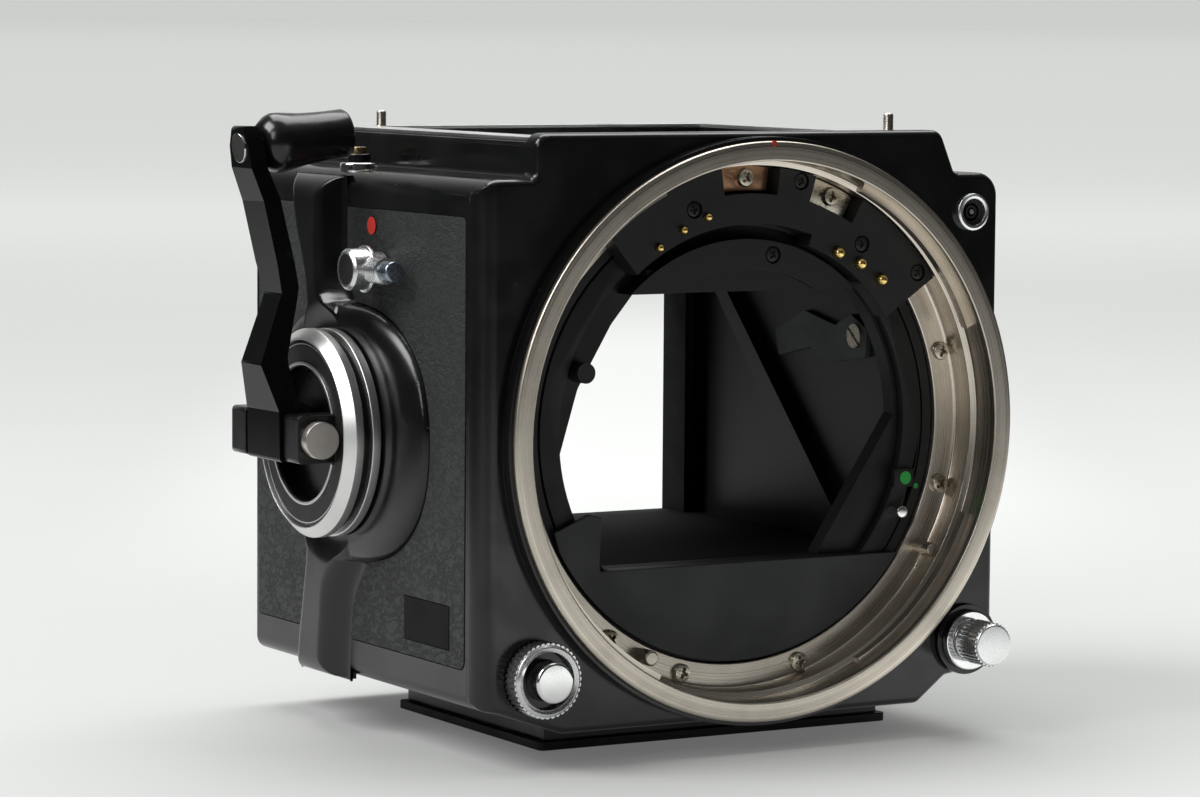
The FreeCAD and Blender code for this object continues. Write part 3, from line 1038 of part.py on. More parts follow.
def build_winding():
    """Dial, shaft, gears, hinge pin, crank arm and grip."""
    ring_back = DIAL_FRONT_X + DIAL_RING_L
    inner_r = DIAL_R - DIAL_RING_W
    dial_ring = lathe_x([(DIAL_FRONT_X, inner_r), (DIAL_FRONT_X, inner_r + 0.15),
                         (DIAL_FRONT_X + DIAL_BEVEL, DIAL_R), (ring_back, DIAL_R), (ring_back, inner_r)],
                        DIAL_Y, DIAL_Z)
    low_front = ring_back + DIAL_GROOVE_L
    low_back = DIAL_BACK_X
    body = rod_x(inner_r - SEAT, DIAL_FACE_X, low_back, DIAL_Y, DIAL_Z)
    body = fuse(body, rod_x(DIAL_R - 0.5, ring_back + SEAT, low_back, DIAL_Y, DIAL_Z))
    body = body.cut(tube_x(DIAL_R + 1, DIAL_R - 1.1, low_front, low_back + 1, DIAL_Y, DIAL_Z))
    lower_ring = tube_x(DIAL_R - 0.05, DIAL_R - 1.1 + SEAT, low_front + SEAT, low_back, DIAL_Y, DIAL_Z)
    body = body.cut(rod_x(DIAL_RECESS_R, DIAL_FRONT_X - 1, DIAL_RECESS_X, DIAL_Y, DIAL_Z))
    body = body.cut(rod_x(SHAFT_R + SEAT, DIAL_SEAT_X, low_back + 1, DIAL_Y, DIAL_Z))
    foot_low = DIAL_Y - FOOT_HALF_Y - SEAT
    foot_high = DIAL_Y + FOOT_HALF_Y + SEAT
    cheek_back = DIAL_RECESS_X + 0.05
    cheeks = []
    for y0, y1, front_x in ((foot_low - GAP - CHEEK_T, foot_low - GAP, PIN_X - 2.5),
                            (foot_high + GAP, foot_high + GAP + CHEEK_T, PIN_X - 3.1)):
        cheek = prism_y([(front_x, PIN_Z - CHEEK_HALF_Z, 0.6), (front_x, PIN_Z + CHEEK_HALF_Z, 0.6),
                         (cheek_back, PIN_Z + CHEEK_HALF_Z, 0),
                         (cheek_back, PIN_Z - CHEEK_HALF_Z, 0)], y0, y1)
        cheeks.append(cheek)
    body = fuse(body, *cheeks)
    body = body.cut(rod_y(PIN_R + SEAT, DIAL_Y - 20, DIAL_Y + 20, PIN_X, PIN_Z))
    keep("crank_dial", body)
    trim_ring = tube_x(DIAL_RECESS_R + 0.1 + TRIM_W, DIAL_RECESS_R + 0.1,
                       DIAL_FACE_X - 0.3, DIAL_FACE_X - SEAT, DIAL_Y, DIAL_Z)
    room = box(-100, 0, foot_low - GAP - CHEEK_T - 0.1, foot_high + GAP + CHEEK_T + 0.1,
               PIN_Z - CHEEK_HALF_Z - 0.1, PIN_Z + CHEEK_HALF_Z + 0.1)
    keep("dial_chrome_rings", group([dial_ring, lower_ring] + trim_ring.cut(room).Solids))

    shaft_end = -BOX_OUTER_X - 0.1
    shaft = rod_x(SHAFT_R, DIAL_SEAT_X + SEAT, shaft_end, DIAL_Y, DIAL_Z)
    keep("winding_shaft", shaft)
    line1 = math.radians(IDLER_ANGLE)
    line2 = math.radians(OUTPUT_ANGLE)
    drive_phase = 0.0
    idler_phase = meshed_phase(drive_phase, DRIVE_TEETH, IDLER_TEETH, line1)
    output_phase = meshed_phase(idler_phase, IDLER_TEETH, OUTPUT_TEETH, line2)
    keep("drive_gear", gear(DRIVE_TEETH, drive_phase, gear_centre(0), SHAFT_R + SEAT))
    keep("idler_gear", gear(IDLER_TEETH, idler_phase, gear_centre(1), STUD_R + RUN))
    keep("output_gear", gear(OUTPUT_TEETH, output_phase, gear_centre(2), STUD_R + RUN))
    studs = []
    for index in (1, 2):
        stud = rod_x(STUD_R, GEAR_X - 0.1, shaft_end + 0.8, *gear_centre(index))
        head = rod_x(STUD_R + 1.0, GEAR_X - 0.9, GEAR_X - GAP, *gear_centre(index))
        collar = rod_x(STUD_R + 1.0, GEAR_X + GEAR_T + GAP, shaft_end - 0.1, *gear_centre(index))
        neck = rod_x(STUD_R, GEAR_X - GAP - 0.1, GEAR_X, *gear_centre(index))
        studs.append(fuse(stud, neck, head, collar))
    keep("gear_studs", group(studs))

    pin_front = foot_low - GAP - CHEEK_T
    pin = fuse(rod_y(PIN_R, pin_front - 0.1, foot_high + GAP + CHEEK_T - 0.6, PIN_X, PIN_Z),
               rod_y(PIN_HEAD_R - 0.25, pin_front - 0.6, pin_front - SEAT, PIN_X, PIN_Z),
               rod_y(PIN_HEAD_R, pin_front - PIN_HEAD_L, pin_front - 0.5, PIN_X, PIN_Z))
    keep("crank_hinge_pin", pin)

    outer_face = [(PIN_X - 2.9, PIN_Z - 3.2), (PIN_X - 3.0, PIN_Z + 3.2), (PIN_X - 4.7, PIN_Z + 9.15),
                  (PIN_X - 1.6, PIN_Z + 18.0), (PIN_X - 4.4, PIN_Z + 29.8), (AXLE_X + 0.4, AXLE_Z - 2.5),
                  (AXLE_X - 0.3, AXLE_Z + ARM_BOSS_R)]
    inner_face = [(AXLE_X + ARM_T - 0.3, AXLE_Z + ARM_BOSS_R), (AXLE_X + ARM_T + 0.4, AXLE_Z - 2.5),
                  (PIN_X - 4.4 + ARM_T, PIN_Z + 30.2), (PIN_X + 0.7, PIN_Z + 18.9),
                  (PIN_X + 0.6, PIN_Z + 17.1), (PIN_X - 0.9, PIN_Z + 10.0),
                  (PIN_X - 0.3, PIN_Z + 4.6), (PIN_X + 2.4, PIN_Z + 3.3),
                  (PIN_X + 2.9, PIN_Z - 3.2)]
    blade = prism_y([(x, z, 0.5) for x, z in outer_face + inner_face], DIAL_Y - 9, DIAL_Y + 9)
    widths = [(FOOT_HALF_Y, PIN_Z - 3.2), (FOOT_HALF_Y, PIN_Z + 3.4), (2.9, PIN_Z + 9.2),
              (2.5, PIN_Z + 17.0), (3.2, PIN_Z + 22.0), (3.2, PIN_Z + 29.8),
              (ARM_BOSS_R, AXLE_Z + 0.2), (1.5, AXLE_Z + ARM_BOSS_R)]
    edge = [(DIAL_Y - w, z) for w, z in widths] + [(DIAL_Y + w, z) for w, z in reversed(widths)]
    blade = blade.common(prism_x(sharp(edge), PIN_X - 20, PIN_X + 20))
    blade = blade.cut(rod_y(PIN_R + RUN, DIAL_Y - 20, DIAL_Y + 20, PIN_X, PIN_Z))
    tilt = math.radians(AXLE_TILT)
    along = Vec(math.cos(tilt), 0, math.sin(tilt))
    start = Vec(AXLE_X, DIAL_Y, AXLE_Z)
    blade = blade.cut(Part.makeCylinder(AXLE_HEAD_R + SEAT, 2, start - along * 1.4, along))
    blade = blade.cut(Part.makeCylinder(AXLE_R + SEAT, 9, start - along * 2, along))
    keep("crank_arm", blade)
    axle = Part.makeCylinder(AXLE_HEAD_R, 0.7, start - along * 0.12, along)
    grip_start = ARM_T + GAP + 0.35
    axle = fuse(axle, Part.makeCylinder(AXLE_R, grip_start + GRIP_L - 1.6, start + along * 0.4, along))
    keep("grip_axle", axle)
    profile = [(0, 0), (0, 2.5), (0.6, 3.1), (2.0, 3.85), (3.2, 3.75), (6.0, 3.3), (9.5, 3.15),
               (GRIP_L - 0.3, 3.15), (GRIP_L, 2.85), (GRIP_L, 0)]
    points = [Vec(AXLE_X + grip_start + s, DIAL_Y + r, AXLE_Z) for s, r in profile]
    grip = Part.Face(Part.makePolygon(points + points[:1])).revolve(start, Vec(1, 0, 0), 360)
    grip.rotate(start, Vec(0, 1, 0), -AXLE_TILT)
    grip = grip.cut(Part.makeCylinder(AXLE_R + RUN, GRIP_L + 2, start + along * 1.5, along))
    keep("crank_grip", grip)


def toothed_disc_y(radius, depth, teeth, y0, y1, x, z):
    """Knurled disc on a Y axis: a disc with round grooves along its rim."""
    disc = rod_y(radius, y0, y1, x, z)
    grooves = []
    for i in range(teeth):
        turn = 2 * math.pi * i / teeth
        gx = x + (radius + depth * 0.4) * math.cos(turn)
        gz = z + (radius + depth * 0.4) * math.sin(turn)
        grooves.append(rod_y(depth, y0 - 1, y1 + 1, gx, gz))
    return disc.cut(Part.makeCompound(grooves))


def build_controls():
    """Everything a user turns or presses apart from the crank."""
    button = fuse(rod_y(BUTTON_R, BUTTON_FRONT_Y, PANEL_BACK_Y - 0.7 - BUTTON_TRAVEL - 0.15,
                        RELEASE_X, RELEASE_Z),
                  rod_y(1.2, PANEL_BACK_Y - 3, PANEL_BACK_Y + 2.2, RELEASE_X, RELEASE_Z))
    face = [e for e in button.Edges if abs(e.CenterOfMass.y - BUTTON_FRONT_Y) < 1e-6]
    button = button.makeFillet(0.35, face[:1])
    keep("shutter_release_button", button)
    collar = toothed_disc_y(COLLAR_R, 0.3, COLLAR_TEETH, COLLAR_FRONT_Y + 0.3, FACE_Y - 0.25,
                            RELEASE_X, RELEASE_Z)
    collar = collar.fuse(rod_y(COLLAR_R - 0.35, COLLAR_FRONT_Y, COLLAR_FRONT_Y + 0.4, RELEASE_X, RELEASE_Z))
    collar = fuse(collar).cut(rod_y(COLLAR_BORE_R, FACE_Y - 9, FACE_Y + 1, RELEASE_X, RELEASE_Z))
    keep("release_lock_collar", collar)
    socket = fuse(tube_y(SOCKET_R, 2.5, SOCKET_FRONT_Y, FACE_Y - 0.9 - SEAT, SOCKET_X, SOCKET_Z),
                  tube_y(SOCKET_R - 0.6, 2.5, FACE_Y - 1.5, PANEL_BACK_Y - 0.1, SOCKET_X, SOCKET_Z))
    keep("accessory_socket", socket)
    cap = toothed_disc_y(CAP_R, 0.22, CAP_TEETH, CAP_FRONT_Y + 0.3, SOCKET_FRONT_Y - GAP, SOCKET_X, SOCKET_Z)
    cap = fuse(cap, rod_y(CAP_R - 0.3, CAP_FRONT_Y, CAP_FRONT_Y + 0.5, SOCKET_X, SOCKET_Z),
               rod_y(2.5 - RUN, SOCKET_FRONT_Y - 1, PANEL_BACK_Y - 0.6, SOCKET_X, SOCKET_Z))
    keep("socket_cap", cap)
    terminal = fuse(tube_y(FLASH_R, 1.75, FACE_Y - 0.9, FACE_Y - SEAT, FLASH_X, FLASH_Z),
                    tube_y(FLASH_R - 0.3, 1.75, FACE_Y - 0.5, PANEL_BACK_Y - 0.2, FLASH_X, FLASH_Z))
    insulator = rod_y(1.75 - SEAT, FACE_Y - 0.2, PANEL_BACK_Y - 0.2, FLASH_X, FLASH_Z)
    insulator = insulator.cut(tube_y(1.2, 0.75, FACE_Y - 1, FACE_Y + 1.2, FLASH_X, FLASH_Z))
    insulator = insulator.cut(rod_y(0.35 + SEAT, FACE_Y - 1, FACE_Y + 1.5 + SEAT, FLASH_X, FLASH_Z))
    contact = rod_y(0.35, FACE_Y - 0.25, FACE_Y + 1.5, FLASH_X, FLASH_Z)
    keep("flash_terminal", group([terminal, insulator, contact]))

    knob = rod_x(MULTI_R, MULTI_FRONT_X, MULTI_FRONT_X + 2.6, MULTI_Y, MULTI_Z)
    rim = [e for e in knob.Edges if abs(e.CenterOfMass.x - MULTI_FRONT_X) < 1e-6]
    knob = knob.makeFillet(0.4, rim[:1])
    neck = rod_x(MULTI_R - 0.5, MULTI_FRONT_X + 2.5, CRANK_SIDE_X - LEATHER_PROUD - GAP, MULTI_Y, MULTI_Z)
    post = rod_x(1.2, CRANK_SIDE_X - 2, CRANK_SIDE_X + WALL + 1.5, MULTI_Y, MULTI_Z)
    thumb_x = MULTI_FRONT_X + 2.9
    thumb = rod_y(MULTI_THUMB_R, MULTI_Y - MULTI_THUMB_L, MULTI_Y - 1.5, thumb_x, MULTI_Z)
    grooves = []
    for i in range(18):
        turn = 2 * math.pi * i / 18
        grooves.append(rod_y(0.17, MULTI_Y - MULTI_THUMB_L - 1, MULTI_Y - 2.6,
                             thumb_x + MULTI_THUMB_R * math.cos(turn),
                             MULTI_Z + MULTI_THUMB_R * math.sin(turn)))
    thumb = thumb.cut(Part.makeCompound(grooves))
    tip = rod_y(MULTI_THUMB_R - 0.35, MULTI_Y - MULTI_THUMB_L - MULTI_TIP_L, MULTI_Y - MULTI_THUMB_L + 0.2,
                thumb_x, MULTI_Z)
    keep("multi_exposure_lever", fuse(knob, neck, post, thumb, tip))

    base = finder_button_washer()
    keep("finder_button_base", base)
    stem_low = SHOULDER_Z - WALL - 1.6
    button = fuse(rod_z(FINDER_BUTTON_R, SHOULDER_Z + 0.2, FINDER_BUTTON_TOP_Z,
                        FINDER_BUTTON_X, FINDER_BUTTON_Y),
                  rod_z(0.6, stem_low, SHOULDER_Z + 1, FINDER_BUTTON_X, FINDER_BUTTON_Y))
    keep("finder_release_button", button)

    dial_x = FAR_SIDE_X + LEATHER_PROUD + GAP
    dial = rod_x(SPEED_R, dial_x, dial_x + SPEED_H, SPEED_Y, SPEED_Z)
    ridges = []
    for i in range(40):
        turn = 2 * math.pi * i / 40
        ridges.append(rod_x(0.32, dial_x + 0.8, dial_x + SPEED_H + 1,
                            SPEED_Y + (SPEED_R + 0.1) * math.cos(turn),
                            SPEED_Z + (SPEED_R + 0.1) * math.sin(turn)))
    dial = dial.cut(Part.makeCompound(ridges))
    dial = dial.cut(tube_x(SPEED_R - 3.2, SPEED_R - 3.7, dial_x + SPEED_H - 0.5, dial_x + SPEED_H + 1,
                           SPEED_Y, SPEED_Z))
    dial = fuse(dial, rod_x(3.0, INNER_FAR_X - 2.4, dial_x + 0.5, SPEED_Y, SPEED_Z))
    keep("shutter_speed_dial", dial)
    check = fuse(rod_x(CHECK_R, INNER_FAR_X - 0.6, FAR_SIDE_X + CHECK_H, CHECK_Y, CHECK_Z),
                 rod_x(CHECK_R + 0.8, INNER_FAR_X - 1.2, INNER_FAR_X - SEAT, CHECK_Y, CHECK_Z))
    keep("battery_check_button", check)
    outside = FAR_SIDE_X + LEATHER_PROUD + GAP
    lever = fuse(box(outside, outside + 2.4, LENS_LEVER_Y - 2.6, LENS_LEVER_Y + 2.6,
                     LENS_LEVER_Z - 3.4, LENS_LEVER_Z + 3.4),
                 box(INNER_FAR_X - 0.9, outside + 0.5, LENS_LEVER_Y - 1.6, LENS_LEVER_Y + 1.6,
                     LENS_LEVER_Z - 1.2, LENS_LEVER_Z + 1.2),
                 box(INNER_FAR_X - 1.3, INNER_FAR_X - GAP, LENS_LEVER_Y - 2.4, LENS_LEVER_Y + 2.4,
                     LENS_LEVER_Z - 2.2, LENS_LEVER_Z + 2.2))
    keep("lens_release_lever", lever)
    x, z = on_circle(LOCK_PIN_PCR, LOCK_PIN_ANGLE)
    keep("lens_lock_pin", rod_y(LOCK_PIN_R, LOCK_PIN_TIP_Y, LOCK_PIN_TIP_Y + LOCK_PIN_L, x, z))


def finder_button_washer():
    """Chrome washer that the finder release button passes through."""
    low = SHOULDER_Z - FINDER_SUNK + SEAT
    top = SHOULDER_Z + FINDER_BASE_H
    base = rod_z(FINDER_BASE_R, low, top, FINDER_BUTTON_X, FINDER_BUTTON_Y)
    rim = [edge for edge in base.Edges if abs(edge.CenterOfMass.z - top) < 1e-6]
    base = base.makeFillet(0.35, rim[:1])
    base = base.fuse(rod_z(FINDER_COLLAR_R, low, top + FINDER_COLLAR_H, FINDER_BUTTON_X, FINDER_BUTTON_Y))
    return base.cut(rod_z(FINDER_BUTTON_R + RUN, 0, 200, FINDER_BUTTON_X, FINDER_BUTTON_Y))


def build_inside():
    """Battery, its hinged lid, circuit board and release magnet."""
    keep("battery", rod_x(BATTERY_R, -BATTERY_HALF_L, BATTERY_HALF_L, BATTERY_Y, BATTERY_Z))
    lid = box(-LID_HALF_X, LID_HALF_X, LID_FRONT_Y, LID_REAR_Y, UNDER_Z, UNDER_Z + LID_T)
    corner = [(LID_REAR_Y - 0.25, UNDER_Z + LID_T + 0.1, 0), (LID_REAR_Y + 0.1, UNDER_Z + LID_T + 0.1, 0),
              (LID_REAR_Y + 0.1, UNDER_Z + LID_T - 0.35, 0)]
    lid = lid.cut(prism_x(corner, -LID_HALF_X - 1, LID_HALF_X + 1))
    hinge = rod_x(LID_HINGE_R, -LID_HALF_X - 1.2, LID_HALF_X + 1.2, LID_HINGE_Y, LID_HINGE_Z)
    keep("battery_lid", fuse(lid, hinge))
    board_x = BOX_OUTER_X + 0.243 * FAR_ROOM
    board = box(board_x, board_x + 0.16 * FAR_ROOM, -8, 27, BOX_FLOOR_Z + 5, BOX_TOP_Z - 1.2)
    posts = []
    for y in (-5.5, 24.5):
        for z in (BOX_FLOOR_Z + 8, BOX_TOP_Z - 4.2):
            posts.append(rod_x(1.2, BOX_OUTER_X + SEAT, board_x + 0.1, y, z))
    keep("circuit_board", fuse(board, *posts))
    coil_low = SIDE_FOOT_Z + 7
    coil_high = BOX_FLOOR_Z + 1
    coil = box(BOX_OUTER_X + SEAT, BOX_OUTER_X + 0.83 * FAR_ROOM, -7, 6, coil_low, coil_high)
    coil = coil.cut(box(BOX_OUTER_X + 0.24 * FAR_ROOM, INNER_FAR_X, -8, 0, coil_low + 2.5, coil_high - 2.5))
    keep("release_magnet", coil)


def main():
    os.makedirs("parts", exist_ok=True)
    keep("front_panel", build_front_panel())
    flange_screws = build_mount()
    build_aperture()
    build_contacts(flange_screws)
    plate_screws = build_covers()
    build_box(plate_screws)
    build_mirror()
    build_deck()
    build_winding()
    build_controls()
    build_inside()
    for name, shape in NODES.items():
        solids = shape.Solids
        volume = sum(solid.Volume for solid in solids)
        box_of = shape.BoundBox
        limits = (box_of.XMin, box_of.XMax, box_of.YMin, box_of.YMax, box_of.ZMin, box_of.ZMax)
        print(name, len(solids), "solids", round(volume, 1), "mm3", "valid", shape.isValid(),
              [round(v, 1) for v in limits])
        shape.exportStep("parts/" + name + ".step")


main()
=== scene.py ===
"""Looks of a medium format film camera body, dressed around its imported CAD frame.

Sizes in the classes are millimetres. Meshes are built in metres, in the frame's own
axes: +Z up, the lens side towards -Y, the winding crank towards -X.
"""

import json
import logging
import math
from dataclasses import dataclass
from enum import Enum
from functools import cache
from typing import Iterable, Mapping, Optional, Sequence, Union

import bmesh
import bpy
from mathutils import Matrix, Vector

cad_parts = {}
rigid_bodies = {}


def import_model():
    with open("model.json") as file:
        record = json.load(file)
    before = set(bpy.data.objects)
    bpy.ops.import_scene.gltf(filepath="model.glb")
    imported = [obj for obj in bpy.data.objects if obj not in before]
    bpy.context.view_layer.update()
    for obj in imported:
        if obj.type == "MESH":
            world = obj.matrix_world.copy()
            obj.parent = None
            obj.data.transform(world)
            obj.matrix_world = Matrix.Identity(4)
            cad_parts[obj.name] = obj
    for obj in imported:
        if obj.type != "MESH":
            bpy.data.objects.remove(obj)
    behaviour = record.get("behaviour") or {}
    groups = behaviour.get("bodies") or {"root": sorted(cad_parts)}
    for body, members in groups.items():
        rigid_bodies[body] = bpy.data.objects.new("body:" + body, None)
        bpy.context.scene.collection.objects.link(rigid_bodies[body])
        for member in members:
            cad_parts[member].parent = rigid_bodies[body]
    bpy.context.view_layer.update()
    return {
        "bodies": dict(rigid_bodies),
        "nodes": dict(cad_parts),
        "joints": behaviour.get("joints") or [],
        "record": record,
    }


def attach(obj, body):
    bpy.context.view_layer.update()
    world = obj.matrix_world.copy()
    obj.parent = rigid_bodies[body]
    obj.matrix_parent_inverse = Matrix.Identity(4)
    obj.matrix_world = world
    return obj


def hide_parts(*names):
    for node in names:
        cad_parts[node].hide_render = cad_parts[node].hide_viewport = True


Point2 = tuple[float, float]
Point3 = tuple[float, float, float]
Color = tuple[float, float, float]
Mesh = bmesh.types.BMesh
Node = bpy.types.Node
Socket = bpy.types.NodeSocket
Sockets = bpy.types.bpy_prop_collection
Value = Union[Socket, float, str, Sequence[float]]

LOG = logging.getLogger("camera_body")
MM = 0.001
TINY = 1e-6  # a length under this counts as nothing
WELD = 2e-7  # metres within which vertices of the frame are joined
FLAT_ANGLE = 0.4  # degrees under which neighbouring faces are joined up
BEVEL_ANGLE = 38.0  # degrees above which an edge is rounded
SHARP_ANGLE = 32.0  # degrees above which an edge stays sharp
LENS_HEIGHT = 40.4  # the lens axis over the floor
WINDER_SIDE = -40.5  # plane of the winder side cover
DIAL_CENTRE = (5.4, 39.1)  # the dial's axis on that plane
RED_DOT = (-0.8, 65.9)  # the red dot on that plane
VIEW_COS, VIEW_SIN = 0.866, 0.5  # direction of the view over the floor


class Axis(Enum):
    """Direction that a turned or extruded piece runs along."""

    X = 0
    Y = 1
    Z = 2


def place(axis: Axis, along: float, u: float, v: float) -> Vector:
    """Point in metres from a position along an axis and two across it.

    Args:
        axis: Direction of the piece.
        along: Position along it, in millimetres.
        u: Next coordinate in the order y, z / x, z / x, y.
        v: The one after it.

    Returns:
        The point in metres.
    """
    if axis is Axis.X:
        return Vector((along, u, v)) * MM
    if axis is Axis.Y:
        return Vector((u, along, v)) * MM
    return Vector((u, v, along)) * MM


def limited(value: float) -> float:
    """Value kept from 0 to 1."""
    return min(max(value, 0.0), 1.0)


def smooth(value: float) -> float:
    """Smooth step from 0 to 1 of a value that is kept from 0 to 1."""
    share = limited(value)
    return share * share * (3 - 2 * share)


def circle(steps: int) -> list[Point2]:
    """Cosine and sine of equal steps round a full turn."""
    turns = [2 * math.pi * step / steps for step in range(steps)]
    return [(math.cos(turn), math.sin(turn)) for turn in turns]


def on_circle(radius: float, degrees: float, centre: Point2 = (0.0, LENS_HEIGHT)) -> Point2:
    """Point on a circle, which lies about the lens axis unless a centre is given."""
    turn = math.radians(degrees)
    return centre[0] + radius * math.cos(turn), centre[1] + radius * math.sin(turn)


# ---------------------------------------------------------------- shader parts


class NodeTree:
    """Short way to add, set and join nodes in one tree."""

    def __init__(self, tree: bpy.types.NodeTree) -> None:
        """Keeps the tree that the nodes go into."""
        self.tree = tree

    @classmethod
    def group(cls, name: str, kind: str, inputs: Mapping[str, Union[str, float]],
              outputs: Sequence[str], result: str) -> tuple["NodeTree", Sockets, Node]:
        """Starts a node group.

        Args:
            name: Name of the group.
            kind: Type of its tree.
            inputs: Default of each plain input, or the socket type of any other.
            outputs: Names of the outputs.
            result: Socket type of the outputs.

        Returns:
            The tree, the sockets of its inputs and its output node.
        """
        tree = bpy.data.node_groups.new(name, kind)
        for label, value in inputs.items():
            kind_of = value if isinstance(value, str) else "Float"
            socket = tree.interface.new_socket(name=label, in_out="INPUT",
                                               socket_type="NodeSocket" + kind_of)
            if not isinstance(value, str):
                socket.default_value = value
        for label in outputs:
            tree.interface.new_socket(name=label, in_out="OUTPUT",
                                      socket_type="NodeSocket" + result)
        nodes = cls(tree)
        return nodes, nodes.add("NodeGroupInput").outputs, nodes.add("NodeGroupOutput")

    def feed(self, node: Node, values: Mapping[Union[str, int], Value]) -> None:
        """Joins each named or numbered input of a node to a socket, or sets its value."""
        for key, value in values.items():
            if isinstance(value, Socket):
                self.tree.links.new(value, node.inputs[key])
            else:
                node.inputs[key].default_value = value

    def add(self, kind: str, values: Optional[Mapping[Union[str, int], Value]] = None,
            **settings: object) -> Node:
        """Adds a node.

        Args:
            kind: Type of node, such as ShaderNodeMath.
            values: Socket or value for its named or numbered inputs.
            settings: Attributes of the node to set.

        Returns:
            The new node.
        """
        node = self.tree.nodes.new(kind)
        for key, value in settings.items():
            setattr(node, key, value)
        self.feed(node, values or {})
        return node

    def math(self, operation: str, first: Value, second: Value = 0.0,
             clamp: bool = False) -> Socket:
        """Result of a Math node, kept from 0 to 1 where asked."""
        return self.add("ShaderNodeMath", {0: first, 1: second}, operation=operation,
                        use_clamp=clamp).outputs[0]

    def times(self, first: Value, second: Value) -> Socket:
        """Product of two values."""
        return self.math("MULTIPLY", first, second)

    def plus(self, first: Value, second: Value, clamp: bool = False) -> Socket:
        """Sum of two values, kept from 0 to 1 where asked."""
        return self.math("ADD", first, second, clamp)

    def minus(self, first: Value, second: Value) -> Socket:
        """Difference of two values."""
        return self.math("SUBTRACT", first, second)

    def size(self, value: Value) -> Socket:
        """Value without its sign."""
        return self.math("ABSOLUTE", value)

    def ramp(self, value: Value, low: float, high: float, start: float = 0.0,
             end: float = 1.0) -> Socket:
        """Maps a value smoothly between two limits.

        Args:
            value: Socket to read.
            low: Value that gives start.
            high: Value that gives end.
            start: Result at low.
            end: Result at high.

        Returns:
            The result's socket.
        """
        values = {"Value": value, "From Min": low, "From Max": high, "To Min": start, "To Max": end}
        return self.add("ShaderNodeMapRange", values,
                        interpolation_type="SMOOTHSTEP").outputs["Result"]

    def noise(self, vector: Socket, scale: Value, detail: float = 3.0, rough: float = 0.55,
              **settings: object) -> Socket:
        """Adds a noise texture.

        Args:
            vector: Place to read it at.
            scale: Number of cells in a metre.
            detail: Octaves.
            rough: Strength of the finer octaves.
            settings: Attributes of the node to set.

        Returns:
            The socket of its value.
        """
        values = {"Vector": vector, "Scale": scale, "Detail": detail, "Roughness": rough}
        return self.add("ShaderNodeTexNoise", values, **settings).outputs["Fac"]

    def blend(self, mask: Socket, low: Union[Socket, Color], high: Color) -> Socket:
        """Colour between two.

        Args:
            mask: From 0 for low to 1 for high.
            low: First colour, or its socket.
            high: Second colour.

        Returns:
            The colour's socket.
        """
        first = low if isinstance(low, Socket) else (*low, 1.0)
        return self.add("ShaderNodeMix", {0: mask, 6: first, 7: (*high, 1.0)},
                        data_type="RGBA").outputs[2]

    def split(self, vector: Socket) -> Sockets:
        """Sockets X, Y and Z of a vector."""
        return self.add("ShaderNodeSeparateXYZ", {0: vector}).outputs

    def effect(self, tree: bpy.types.NodeTree, where: Socket, **values: float) -> Sockets:
        """Places a shared effect.

        Args:
            tree: The effect's group.
            where: Coordinates for it.
            values: Input values, with _ for a space in their names.

        Returns:
            The sockets of its results.
        """
        named = {key.replace("_", " "): value for key, value in values.items()}
        return self.add("ShaderNodeGroup", {"Place": where, **named}, node_tree=tree).outputs


